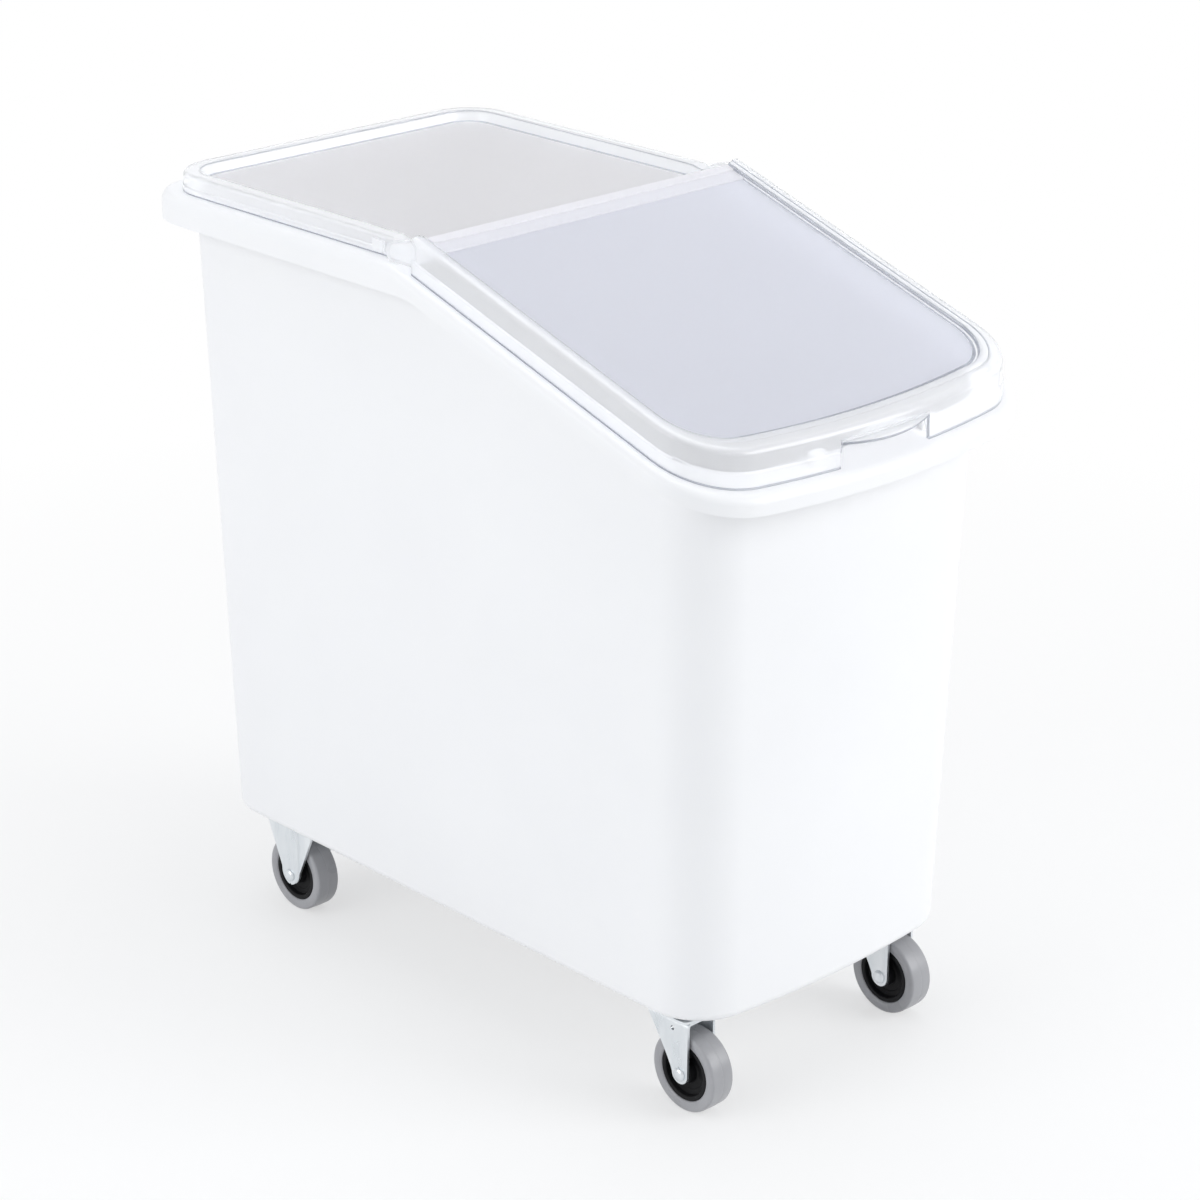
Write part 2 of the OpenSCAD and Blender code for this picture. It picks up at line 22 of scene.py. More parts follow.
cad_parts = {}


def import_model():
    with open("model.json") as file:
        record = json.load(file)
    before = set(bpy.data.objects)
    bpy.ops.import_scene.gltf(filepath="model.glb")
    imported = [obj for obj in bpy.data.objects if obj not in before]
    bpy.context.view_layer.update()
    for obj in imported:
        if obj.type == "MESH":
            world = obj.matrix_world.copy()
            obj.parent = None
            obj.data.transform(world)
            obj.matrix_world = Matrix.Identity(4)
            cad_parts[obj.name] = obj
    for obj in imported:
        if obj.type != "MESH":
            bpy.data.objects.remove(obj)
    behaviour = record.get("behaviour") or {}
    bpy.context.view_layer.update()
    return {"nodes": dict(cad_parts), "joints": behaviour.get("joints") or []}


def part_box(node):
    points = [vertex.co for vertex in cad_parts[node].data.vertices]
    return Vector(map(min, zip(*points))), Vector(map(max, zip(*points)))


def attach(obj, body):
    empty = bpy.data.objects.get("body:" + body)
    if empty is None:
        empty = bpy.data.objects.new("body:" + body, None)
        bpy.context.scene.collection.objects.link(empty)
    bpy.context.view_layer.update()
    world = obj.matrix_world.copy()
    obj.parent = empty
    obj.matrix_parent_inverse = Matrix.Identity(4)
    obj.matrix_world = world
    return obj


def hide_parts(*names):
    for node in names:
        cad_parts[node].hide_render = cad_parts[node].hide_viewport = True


LOG = logging.getLogger("flour_bin")
MM = 0.001
MERGE_GAP = 1e-6
SLIVER = 1e-7
STRAIGHT_TURN = 0.02
CORNER_SHARE = 0.48
SHARP_ANGLE = math.radians(35.0)
SIDES = (-1, 1)
QUARTERS = (0.25, 0.5, 0.75)
ORIGIN = Vector((0, 0, 0))
ACROSS = Vector((1, 0, 0))
UPWARD = Vector((0, 0, 1))

Point2 = tuple[float, float]
Point3 = tuple[float, float, float]
HeightRule = Callable[[float], float]


class Slot(Enum):
    """The record's material slots."""

    TUB = "white_tub"
    LID = "clear_lid"
    ZINC = "zinc_steel"
    HUB = "black_hub"
    TREAD = "grey_tread"


class Zone(IntEnum):
    """The zones of a clear moulding, in the order of its materials."""

    BORDER = 0
    PANEL = 1
    # The edge zone's darker tint is painted shade: the dark lines that refraction draws along the moulding's
    # edges.
    EDGE = 2


class Pattern(Enum):
    """How a repeated piece is laid out by its node tree."""

    RECTANGLE = "rectangle"
    RING = "ring"


class Corner(Enum):
    """The four casters, each named for the end and the side of the bin that it stands at."""

    FRONT_LEFT = "front_left"
    FRONT_RIGHT = "front_right"
    REAR_LEFT = "rear_left"
    REAR_RIGHT = "rear_right"

    @property
    def swivels(self) -> bool:
        """Whether this caster turns under the tub."""
        return self in (Corner.FRONT_LEFT, Corner.FRONT_RIGHT)

    def node(self, piece: str) -> str:
        """Name of this caster's node or piece."""
        return f"{self.value}_{piece}"


# Geometry helpers


@lru_cache(maxsize=None)
def node_box(node: str) -> tuple[Vector, Vector]:
    """Lowest and highest corner of a CAD node, measured once."""
    low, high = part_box(node)
    return Vector(low), Vector(high)


def middle_of(node: str) -> Vector:
    """Middle of a CAD node's box."""
    low, high = node_box(node)
    return (low + high) / 2


def half_size(node: str) -> Vector:
    """Half of each side of a CAD node's box."""
    low, high = node_box(node)
    return (high - low) / 2


def spread(first: float, last: float, steps: int) -> list[float]:
    """Evenly spaced values, both ends included."""
    return [first + (last - first) * i / steps for i in range(steps + 1)]


def arc(start_deg: float, end_deg: float, steps: int) -> list[Point2]:
    """Unit arc points.

    Args:
        start_deg: Angle of the first point.
        end_deg: Angle of the last point.
        steps: Number of chords.

    Returns:
        Cosine and sine pairs, both ends included.
    """
    angles = [math.radians(angle) for angle in spread(start_deg, end_deg, steps)]
    return [(math.cos(a), math.sin(a)) for a in angles]


def mirror(profile: Sequence[Point2]) -> list[Point2]:
    """The other half of a profile, in order after its first half."""
    return [(r, -h) for r, h in reversed(profile)]


def button_head(dome: Sequence[Point2], depth: float, shank: float) -> list[Point2]:
    """Profile of a button head, from the middle of its face to the shank.

    Args:
        dome: Radii and depths round the face, out to the head's own radius.
        depth: Depth of the head.
        shank: Radius of the shank.

    Returns:
        Radii and depths in order.
    """
    return [(0.0, 0.0), *dome, (dome[-1][0], depth), (shank, depth)]


def rounded(points: Sequence[Point2], radius: float, steps: int = 4, closed: bool = False) -> list[Point2]:
    """Rounds the corners of a polyline.

    Args:
        points: Corner points in order.
        radius: Round at each corner, limited by its edges.
        steps: Chords in each round.
        closed: Whether the last point joins the first.

    Returns:
        The polyline with its corners rounded.
    """
    count = len(points)
    result: list[Point2] = []
    for i, here in enumerate(points):
        corner = Vector(here)
        before = Vector(points[i - 1]) - corner
        after = Vector(points[(i + 1) % count]) - corner
        turn = before.angle(after)
        is_end = not closed and i in (0, count - 1)
        if is_end or abs(math.pi - turn) < STRAIGHT_TURN:
            result.append(here)
            continue
        cut = min(radius / math.tan(turn / 2), CORNER_SHARE * min(before.length, after.length))
        first = corner + before.normalized() * cut
        last = corner + after.normalized() * cut
        for t in spread(0.0, 1.0, steps):
            bent = first * (1 - t) ** 2 + corner * 2 * t * (1 - t) + last * t ** 2
            result.append((bent.x, bent.y))
    return result


def linked(name: str, build: bmesh.types.BMesh) -> bpy.types.Object:
    """Links a bmesh, which is freed, into the scene as a piece at the origin."""
    mesh = bpy.data.meshes.new(name)
    build.to_mesh(mesh)
    build.free()
    piece = bpy.data.objects.new(name, mesh)
    bpy.context.scene.collection.objects.link(piece)
    return piece


def solid_piece(name: str, build: bmesh.types.BMesh) -> bpy.types.Object:
    """Closes a bmesh, which is freed, into a smooth piece with outward normals."""
    bmesh.ops.remove_doubles(build, verts=build.verts, dist=MERGE_GAP)
    bmesh.ops.recalc_face_normals(build, faces=build.faces)
    piece = linked(name, build)
    piece.data.shade_smooth()
    return piece


def skin_piece(name: str, build: bmesh.types.BMesh) -> bpy.types.Object:
    """Makes an open skin, which is freed, a smooth piece whose largest face looks up."""
    bmesh.ops.recalc_face_normals(build, faces=build.faces)
    largest = max(build.faces, key=lambda face: face.calc_area())
    if largest.normal.z < 0:
        bmesh.ops.reverse_faces(build, faces=build.faces)
    piece = linked(name, build)
    piece.data.shade_smooth()
    return piece


def settle(piece: bpy.types.Object) -> bpy.types.Object:
    """Turns a piece's modifiers into plain mesh."""
    graph = bpy.context.evaluated_depsgraph_get()
    mesh = bpy.data.meshes.new_from_object(piece.evaluated_get(graph))
    piece.modifiers.clear()
    piece.data = mesh
    return piece


def thicken(piece: bpy.types.Object, wall: float, offset: float = -1.0, rim: int = 0) -> None:
    """Gives a sheet its wall.

    Args:
        piece: The sheet.
        wall: Thickness of the wall.
        offset: -1 for a wall behind the sheet and 0 for one about its middle.
        rim: How many materials further on the cut edges' own one is.
    """
    solid = piece.modifiers.new("wall", "SOLIDIFY")
    solid.thickness = wall
    solid.offset = offset
    solid.use_even_offset = True
    solid.use_quality_normals = True
    solid.material_offset_rim = rim


def soften(piece: bpy.types.Object, width: float, segments: int = 2) -> bpy.types.Object:
    """Rounds a piece's sharp edges, evens its shading and leaves it as plain mesh.

    Args:
        piece: The piece, which may have its wall still as a modifier.
        width: Width of the rounded edge.
        segments: Facets across the rounded edge.

    Returns:
        The same piece.
    """
    bevel = piece.modifiers.new("soft_edges", "BEVEL")
    bevel.width = width
    bevel.segments = segments
    bevel.limit_method = "ANGLE"
    bevel.angle_limit = SHARP_ANGLE
    even = piece.modifiers.new("even_shading", "WEIGHTED_NORMAL")
    even.keep_sharp = True
    return settle(piece)


def joined(name: str, parts: Sequence[bpy.types.Object]) -> bpy.types.Object:
    """Joins the parts of one pressing, which go, into one piece."""
    build = bmesh.new()
    for part in parts:
        build.from_mesh(part.data)
        bpy.data.objects.remove(part)
    return linked(name, build)


def lathe(name: str, profile: Sequence[Point2], centre: Vector, axis: Vector, steps: int) -> bpy.types.Object:
    """Turns a profile into a round piece.

    Args:
        name: Name of the piece.
        profile: Radius and distance along the axis, in order: a ring, or a line that starts and
            ends on the axis.
        centre: Middle of the piece.
        axis: Direction of the axis.
        steps: Facets round the axis.

    Returns:
        The turned piece.
    """
    build = bmesh.new()
    place = Matrix.Translation(centre) @ axis.to_track_quat("Z", "Y").to_matrix().to_4x4()
    rings = []
    for cos_a, sin_a in arc(0, 360, steps)[:-1]:
        rings.append([build.verts.new(place @ Vector((r * cos_a, r * sin_a, h))) for r, h in profile])
    is_ring = profile[0][0] > SLIVER
    span = len(profile) if is_ring else len(profile) - 1
    for i, ring in enumerate(rings):
        other = rings[(i + 1) % steps]
        for k in range(span):
            j = (k + 1) % len(profile)
            build.faces.new((ring[k], other[k], other[j], ring[j]))
    bmesh.ops.remove_doubles(build, verts=build.verts, dist=SLIVER)
    bmesh.ops.dissolve_degenerate(build, dist=SLIVER, edges=build.edges)
    return solid_piece(name, build)


def loft(build: bmesh.types.BMesh, rows: Sequence[Sequence[Point3]],
         closed: bool) -> list[list[bmesh.types.BMVert]]:
    """Skins rows of points with quads.

    Args:
        build: The bmesh that takes the faces.
        rows: Rows with the same number of points.
        closed: Whether each row is a ring.

    Returns:
        The points of each row.
    """
    verts = [[build.verts.new(p) for p in row] for row in rows]
    for low, high in zip(verts, verts[1:]):
        count = len(low) if closed else len(low) - 1
        for i in range(count):
            j = (i + 1) % len(low)
            build.faces.new((low[i], low[j], high[j], high[i]))
    return verts


def add_block(build: bmesh.types.BMesh, xs: Point2, ys: Point2, rises: Point2, ground: HeightRule) -> None:
    """Adds a block with eight corners.

    Args:
        build: The bmesh that takes it.
        xs: Its two places across the bin.
        ys: Its two places along the bin.
        rises: Its lower and upper face above the ground.
        ground: Height of the ground at a place along the bin.
    """
    corners = [build.verts.new((x, y, ground(y) + rise)) for x in xs for y in ys for rise in rises]
    bmesh.ops.convex_hull(build, input=corners)


# Node groups and finishes


def add_node(tree: bpy.types.NodeTree, kind: str, inputs: dict[str | int, Any] | None = None,
             **settings: Any) -> bpy.types.Node:
    """Adds a node, sets it up and feeds its inputs.

    Args:
        tree: The tree that takes the node.
        kind: The node's type.
        inputs: What each input, by name or place, holds: a value, or a socket that is linked to it.
        settings: The node's own settings.

    Returns:
        The node.
    """
    node = tree.nodes.new(kind)
    for name, value in settings.items():
        setattr(node, name, value)
    for label, value in (inputs or {}).items():
        if isinstance(value, bpy.types.NodeSocket):
            tree.links.new(value, node.inputs[label])
        else:
            node.inputs[label].default_value = value
    return node


def empty_material(name: str) -> tuple[bpy.types.Material, bpy.types.NodeTree]:
    """A new material and its cleared node tree."""
    material = bpy.data.materials.new(name)
    material.use_nodes = True
    material.node_tree.nodes.clear()
    return material, material.node_tree


@lru_cache(maxsize=None)
def surface_group() -> bpy.types.NodeTree:
    """Shared moulded or rolled surface: fine grain, slow colour drift and faint scuffs.

    Returns:
        A node group with named sizes in and a shade, a roughness and a height out.
    """
    grain_detail, drift_detail, scuff_detail = 3.0, 2.0, 8.0
    scuff_start, scuff_full, scuff_roughness = 0.6, 0.78, 0.25
    drift_middle = 0.5
    group = bpy.data.node_groups.new("worked_surface", "ShaderNodeTree")
    face = group.interface
    for label, value in (("Grain Scale", 900.0), ("Drift Scale", 6.0), ("Scuff Scale", 45.0),
                         ("Roughness", 0.4), ("Roughness Drift", 0.08), ("Scuff Amount", 0.2)):
        socket = face.new_socket(label, in_out="INPUT", socket_type="NodeSocketFloat")
        socket.default_value = value
    stretch = face.new_socket("Stretch", in_out="INPUT", socket_type="NodeSocketVector")
    stretch.default_value = (1.0, 1.0, 1.0)
    for label in ("Shade", "Roughness", "Height"):
        face.new_socket(label, in_out="OUTPUT", socket_type="NodeSocketFloat")
    entry = add_node(group, "NodeGroupInput").outputs
    place = add_node(group, "ShaderNodeTexCoord")
    scaled = add_node(group, "ShaderNodeVectorMath", {0: place.outputs["Object"], 1: entry["Stretch"]},
                      operation="MULTIPLY")

    def noise(scale: str, detail: float) -> bpy.types.NodeSocket:
        """A noise whose scale is a group input."""
        node = add_node(group, "ShaderNodeTexNoise",
                        {"Detail": detail, "Vector": scaled.outputs[0], "Scale": entry[scale]})
        return node.outputs["Fac"]

    def total(operation: str, first: bpy.types.NodeSocket,
              second: bpy.types.NodeSocket | float) -> bpy.types.NodeSocket:
        """One sum of a socket and another socket or number."""
        return add_node(group, "ShaderNodeMath", {0: first, 1: second}, operation=operation).outputs[0]

    drift = noise("Drift Scale", drift_detail)
    ramp = add_node(group, "ShaderNodeMapRange", {"Value": noise("Scuff Scale", scuff_detail),
                                                  "From Min": scuff_start, "From Max": scuff_full})
    scuffs = total("MULTIPLY", ramp.outputs["Result"], entry["Scuff Amount"])
    swing = total("MULTIPLY", total("SUBTRACT", drift, drift_middle), entry["Roughness Drift"])
    rough = total("ADD", entry["Roughness"], swing)
    add_node(group, "NodeGroupOutput", {
        "Shade": total("SUBTRACT", drift, scuffs),
        "Roughness": total("ADD", rough, total("MULTIPLY", scuffs, scuff_roughness)),
        "Height": total("SUBTRACT", noise("Grain Scale", grain_detail), scuffs)})
    return group


@dataclass(frozen=True)
class Finish:
    """An opaque finish: two shades, a roughness and a grain."""

    name: str
    slot: Slot
    light: Point3
    dark: Point3
    roughness: float
    roughness_drift: float
    grain_scale: float
    grain_depth: float
    scuff_amount: float
    metallic: float = 0.0
    specular: float = 0.5
    subsurface: float = 0.0
    subsurface_reach: Point3 = (0.004, 0.004, 0.0045)
    drift_scale: float = 6.0
    scuff_scale: float = 45.0
    stretch: Point3 = (1.0, 1.0, 1.0)
    bump_strength: float = 0.35

    @lru_cache(maxsize=None)
    def material(self) -> bpy.types.Material:
        """Builds the finish once and returns its material."""
        material, tree = empty_material(self.name)
        surface = add_node(tree, "ShaderNodeGroup", {
            "Grain Scale": self.grain_scale, "Drift Scale": self.drift_scale,
            "Scuff Scale": self.scuff_scale, "Scuff Amount": self.scuff_amount,
            "Roughness": self.roughness, "Roughness Drift": self.roughness_drift,
            "Stretch": self.stretch}, node_tree=surface_group()).outputs
        shade = add_node(tree, "ShaderNodeMix", {
            "Factor": surface["Shade"], "A": (*self.dark, 1.0), "B": (*self.light, 1.0)}, data_type="RGBA")
        bump = add_node(tree, "ShaderNodeBump", {
            "Strength": self.bump_strength, "Distance": self.grain_depth, "Height": surface["Height"]})
        shader = add_node(tree, "ShaderNodeBsdfPrincipled", {
            "Base Color": shade.outputs["Result"], "Roughness": surface["Roughness"],
            "Normal": bump.outputs["Normal"], "Metallic": self.metallic,
            "Specular IOR Level": self.specular, "Subsurface Weight": self.subsurface,
            "Subsurface Radius": self.subsurface_reach})
        add_node(tree, "ShaderNodeOutputMaterial", {"Surface": shader.outputs["BSDF"]})
        return material


@dataclass(frozen=True)
class ClearFinish:
    """Clear polycarbonate that lets the light of the room through to what it covers."""

    name: str
    tint: Point3
    shadow_tint: Point3
    roughness: float
    transmission: float
    slot: Slot = Slot.LID
    index: float = 1.36
    haze_scale: float = 60.0
    haze_depth: float = 0.0002
    bump_strength: float = 0.03
    roughness_drift: float = 0.03
    scuff_amount: float = 0.10

    @lru_cache(maxsize=None)
    def material(self) -> bpy.types.Material:
        """Builds the finish once and returns its material."""
        material, tree = empty_material(self.name)
        surface = add_node(tree, "ShaderNodeGroup", {
            "Grain Scale": self.haze_scale, "Scuff Amount": self.scuff_amount,
            "Roughness": self.roughness, "Roughness Drift": self.roughness_drift},
            node_tree=surface_group()).outputs
        bump = add_node(tree, "ShaderNodeBump", {
            "Strength": self.bump_strength, "Distance": self.haze_depth, "Height": surface["Height"]})
        shader = add_node(tree, "ShaderNodeBsdfPrincipled", {
            "Base Color": (*self.tint, 1.0), "Transmission Weight": self.transmission, "IOR": self.index,
            "Roughness": surface["Roughness"], "Normal": bump.outputs["Normal"]})
        through = add_node(tree, "ShaderNodeBsdfTransparent", {"Color": (*self.shadow_tint, 1.0)})
        path = add_node(tree, "ShaderNodeLightPath")
        mix = add_node(tree, "ShaderNodeMixShader", {
            "Fac": path.outputs["Is Shadow Ray"], 1: shader.outputs["BSDF"], 2: through.outputs["BSDF"]})
        add_node(tree, "ShaderNodeOutputMaterial", {"Surface": mix.outputs["Shader"]})
        return material


POLYETHYLENE = Finish("white_polyethylene", Slot.TUB, (0.90, 0.90, 0.905), (0.86, 0.86, 0.868),
                      roughness=0.36, roughness_drift=0.10, grain_scale=700.0, grain_depth=0.00012,
                      scuff_amount=0.10, specular=0.4, subsurface=0.06)
ZINC = Finish("bright_zinc", Slot.ZINC, (0.90, 0.92, 0.935), (0.62, 0.665, 0.70),
              roughness=0.30, roughness_drift=0.22, grain_scale=420.0, grain_depth=0.00006,
              scuff_amount=0.25, metallic=0.85, drift_scale=70.0, scuff_scale=160.0,
              stretch=(1.0, 1.0, 0.25))
TREAD = Finish("grey_rubber", Slot.TREAD, (0.41, 0.41, 0.425), (0.31, 0.31, 0.325),
               roughness=0.30, roughness_drift=0.16, grain_scale=1400.0, grain_depth=0.0001,
               scuff_amount=0.30, specular=0.45, drift_scale=25.0, scuff_scale=120.0)
HUB = Finish("black_polypropylene", Slot.HUB, (0.012, 0.012, 0.013), (0.006, 0.006, 0.007),
             roughness=0.45, roughness_drift=0.12, grain_scale=1100.0, grain_depth=0.00008,
             scuff_amount=0.10, specular=0.12, drift_scale=30.0)
CLEAR = ClearFinish("clear_polycarbonate", (0.975, 0.98, 0.99), (0.955, 0.96, 0.97),
                    roughness=0.05, transmission=0.66, index=1.42)
# The front panel's blue-grey tint is partly the satin panel's own haze and partly painted shade: it is darker
# than the rear panel's to stand for the shaded inside of the tub seen through it.
PANEL = ClearFinish("satin_polycarbonate_and_painted_shade", (0.80, 0.81, 0.865), (0.93, 0.935, 0.95),
                    roughness=0.40, transmission=0.62, haze_scale=400.0)
REAR_PANEL = ClearFinish("hazed_polycarbonate", (0.885, 0.88, 0.895), (0.94, 0.94, 0.95),
                         roughness=0.36, transmission=0.62, haze_scale=400.0)
# Darker blue-grey clear for the edge faces and the lines across a moulding: painted shade, standing in for
# the dark lines that refraction draws along a clear moulding's edges.
EDGE = ClearFinish("polycarbonate_painted_edge_shade", (0.50, 0.52, 0.57), (0.80, 0.81, 0.84),
                   roughness=0.10, transmission=0.70, index=1.42)


def mark_painted_edge_shade(rows: Sequence[Sequence[bmesh.types.BMVert]], bands: Sequence[int]) -> None:
    """Gives the faces between some rows and the rows after them the edge zone, whose darker tint is painted
    shade.
    """
    for band in bands:
        upper = set(rows[band + 1])
        for vert in rows[band]:
            for face in vert.link_faces:
                if upper.intersection(face.verts):
                    face.material_index = Zone.EDGE


def clear_moulding(name: str, build: bmesh.types.BMesh, wall: float) -> bpy.types.Object:
    """Makes a clear moulding from its upper skin.

    Args:
        name: Name of the piece.
        build: The skin with its zones marked, which is freed.
        wall: Thickness of the wall.

    Returns:
        The moulding, with a material slot for each zone.
    """
    edge_round = 0.5 * MM
    shell = skin_piece(name, build)
    for _ in Zone:
        shell.data.materials.append(None)
    # The cut edges take the edge zone, whose darker tint is painted shade.
    thicken(shell, wall, rim=Zone.EDGE)
    return soften(shell, edge_round)


def dress(piece: bpy.types.Object, finish: Finish | ClearFinish, body: str,
          inlays: Sequence[Finish | ClearFinish] = ()) -> bpy.types.Object:
    """Gives a piece its finish and sets it on a body.

    Args:
        piece: A finished piece, or a CAD node's object.
        finish: The finish that covers it.
        body: The CAD body that carries it, or nothing for a CAD node.
        inlays: More finishes, for the faces that carry the material indices after the first.

    Returns:
        The same piece.
    """
    kept = [face.material_index for face in piece.data.polygons] if inlays else []
    piece.data.materials.clear()
    for coat in (finish, *inlays):
        piece.data.materials.append(coat.material())
    if inlays:
        piece.data.polygons.foreach_set("material_index", kept)
    if body:
        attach(piece, body)
    LOG.info("%s in %s", piece.name, finish.name)
    return piece


# Repeated fasteners and balls


@lru_cache(maxsize=None)
def pattern_tree(pattern: Pattern) -> bpy.types.NodeTree:
    """A tree that repeats its own mesh over a rectangle's corners or round a ring.

    Args:
        pattern: The layout.

    Returns:
        A geometry tree with named sizes, which ends in realised instances with their material.
    """
    tree = bpy.data.node_groups.new(f"repeat_{pattern.value}", "GeometryNodeTree")
    for label, kind in (("Geometry", "Geometry"), ("Size X", "Float"), ("Size Y", "Float"), ("Count", "Int"),
                        ("Centre", "Vector"), ("Material", "Material")):
        tree.interface.new_socket(label, in_out="INPUT", socket_type=f"NodeSocket{kind}")
    tree.interface.new_socket("Geometry", in_out="OUTPUT", socket_type="NodeSocketGeometry")
    entry = add_node(tree, "NodeGroupInput").outputs
    if pattern is Pattern.RECTANGLE:
        points = add_node(tree, "GeometryNodeMeshGrid", {
            "Vertices X": 2, "Vertices Y": 2, "Size X": entry["Size X"], "Size Y": entry["Size Y"]})
    else:
        points = add_node(tree, "GeometryNodeMeshCircle", {
            "Vertices": entry["Count"], "Radius": entry["Size X"]})
    moved = add_node(tree, "GeometryNodeTransform", {
        "Geometry": points.outputs["Mesh"], "Translation": entry["Centre"]})
    copies = add_node(tree, "GeometryNodeInstanceOnPoints", {
        "Points": moved.outputs["Geometry"], "Instance": entry["Geometry"]})
    real = add_node(tree, "GeometryNodeRealizeInstances", {"Geometry": copies.outputs["Instances"]})
    finish = add_node(tree, "GeometryNodeSetMaterial", {
        "Geometry": real.outputs["Geometry"], "Material": entry["Material"]})
    add_node(tree, "NodeGroupOutput", {"Geometry": finish.outputs["Geometry"]})
    return tree


def repeat(unit: bpy.types.Object, pattern: Pattern, centre: Vector, size: Point2, count: int,
           finish: Finish) -> bpy.types.Object:
    """Repeats a unit piece and leaves it as plain mesh.

    Args:
        unit: One fastener or ball, modelled at the origin.
        pattern: The layout.
        centre: Middle of the layout.
        size: Sides of the rectangle, or the ring's radius and nothing.
        count: Number of copies.
        finish: The finish of every copy.

    Returns:
        The same object, holding all the copies.
    """
    tree = pattern_tree(pattern)
    modifier = unit.modifiers.new("repeat", "NODES")
    modifier.node_group = tree
    values = {"Size X": size[0], "Size Y": size[1], "Count": count, "Centre": centre,
              "Material": finish.material()}
    for item in tree.interface.items_tree:
        if item.in_out == "INPUT" and item.name in values:
            modifier[item.identifier] = values[item.name]
    return settle(unit)


# Shared plan and side view of the bin


@dataclass(frozen=True)
class Bend:
    """The rim's side view: level at the rear, a round bend, then a fall to the front."""

    slope: float
    radius: float

    def height(self, level: float, bend_y: float, y: float) -> float:
        """Height of a bent surface.

        Args:
            level: Height of the level part.
            bend_y: Where the two straight parts would meet.
            y: The place along the bin.

        Returns:
            The surface's height there.
        """
        centre = bend_y + self.radius * math.tan(self.slope / 2)
        if y >= centre:
            return level
        if y <= centre - self.radius * math.sin(self.slope):
            return level - math.tan(self.slope) * (bend_y - y)
        return level - self.radius + math.sqrt(self.radius ** 2 - (centre - y) ** 2)


@dataclass(frozen=True)
class Stop:
    """One point of a plan outline: its place and its outward direction."""

    place: Vector
    out: Vector


@dataclass(frozen=True)
class Outline:
    """A rounded rectangle in plan, walked round from the rear left corner through the front.

    Its front is straight, or bowed round a centre on the middle line. An end or a side is -1 for
    the front or the left, and 1 for the rear or the right.
    """

    half: float
    front: float
    front_corner: float
    stations: tuple[float, ...]
    bow_centre: float | None = None
    rear: float = 0.0
    rear_corner: float = 0.0
    corner_steps: int = 14
    end_stations: tuple[float, ...] = tuple(spread(-0.8, 0.8, 8))

    @property
    def across(self) -> float:
        """Half of the front between its corners' centres."""
        return self.half - self.front_corner

    @property
    def bow_turn(self) -> float:
        """Half of the angle that a bowed front turns through."""
        if self.bow_centre is None:
            return 0.0
        return math.asin(self.across / (self.bow_centre - self.front - self.front_corner))

    @property
    def front_span(self) -> float:
        """Half of the front between its corners."""
        if self.bow_centre is None:
            return self.across
        return (self.bow_centre - self.front) * math.sin(self.bow_turn)

    def corner_centre(self, side: int, end: int) -> Vector:
        """Middle of one corner's round, in plan."""
        if end > 0:
            return Vector((side * (self.half - self.rear_corner), self.rear - self.rear_corner))
        back = self.front + self.front_corner
        if self.bow_centre is not None:
            back = self.bow_centre - (self.bow_centre - back) * math.cos(self.bow_turn)
        return Vector((side * self.across, back))

    def corner(self, side: int, end: int) -> list[Stop]:
        """Stops round one corner, in walking order."""
        radius = self.front_corner if end < 0 else self.rear_corner
        centre = self.corner_centre(side, end)
        turn = math.degrees(self.bow_turn)
        spans = {(-1, -1): (180, 270 - turn), (1, -1): (270 + turn, 360),
                 (1, 1): (0, 90), (-1, 1): (90, 180)}
        outs = [Vector(point) for point in arc(*spans[(side, end)], self.corner_steps)]
        return [Stop(centre + out * radius, out) for out in outs]

    def side(self, side: int) -> list[Stop]:
        """Stops down the left side, rear to front, or up the right side, front to rear."""
        out = Vector((float(side), 0.0))
        return [Stop(Vector((side * self.half, y)), out) for y in sorted(self.stations, reverse=side < 0)]

    def end(self, end: int) -> list[Stop]:
        """Stops across the front, left to right, or across the rear, right to left."""
        if end > 0 or self.bow_centre is None:
            edge = self.rear if end > 0 else self.front
            span = self.half - self.rear_corner if end > 0 else self.across
            out = Vector((0.0, float(end)))
            return [Stop(Vector((-end * share * span, edge)), out) for share in self.end_stations]
        radius = self.bow_centre - self.front
        stops = []
        for share in self.end_stations:
            lean = share * self.front_span / radius
            out = Vector((lean, -math.sqrt(1 - lean * lean)))
            stops.append(Stop(Vector((0.0, self.bow_centre)) + out * radius, out))
        return stops

    def front_run(self) -> list[Stop]:
        """The stops of the left side, the front and the right side, as an open run."""
        return self.side(-1) + self.corner(-1, -1) + self.end(-1) + self.corner(1, -1) + self.side(1)

    def ring(self) -> list[Stop]:
        """All the stops, once round."""
        return self.front_run() + self.corner(1, 1) + self.end(1) + self.corner(-1, 1)


@dataclass(frozen=True)
class CoverSizes:
    """Sizes of the rear cover that its box doesn't give."""

    corner: float = 48 * MM
    front_corner: float = 7 * MM
    border: float = 20 * MM
    recess: float = 10 * MM
    lip_depth: float = 5 * MM
    height: float = 18 * MM
    bend_behind: float = 11 * MM


@dataclass(frozen=True)
class LidSizes:
    """Sizes of the front lid that its box doesn't give."""

    corner: float = 64 * MM
    border: float = 18 * MM
    ramp_start: float = 7.5 * MM
    front_extra: float = 9 * MM
    corner_extra: float = 4 * MM
    recess: float = 6 * MM
    height: float = 33 * MM
    rear: float = 0.0
    margin: float = 10.5 * MM
    notch_width: float = 108 * MM
    notch_height: float = 22 * MM
    grip_bulge: float = 9 * MM
    ear_radius: float = 8.5 * MM
    ear_back: float = 6 * MM
    overhang: float = 8.5 * MM
    bar_width: float = 22 * MM
    bar_rise: float = 1.6 * MM
    hinge_gap: float = 0.5 * MM
    ear_root: float = 5 * MM
    stub_radius: float = 4 * MM


COVER = CoverSizes()
LID = LidSizes()


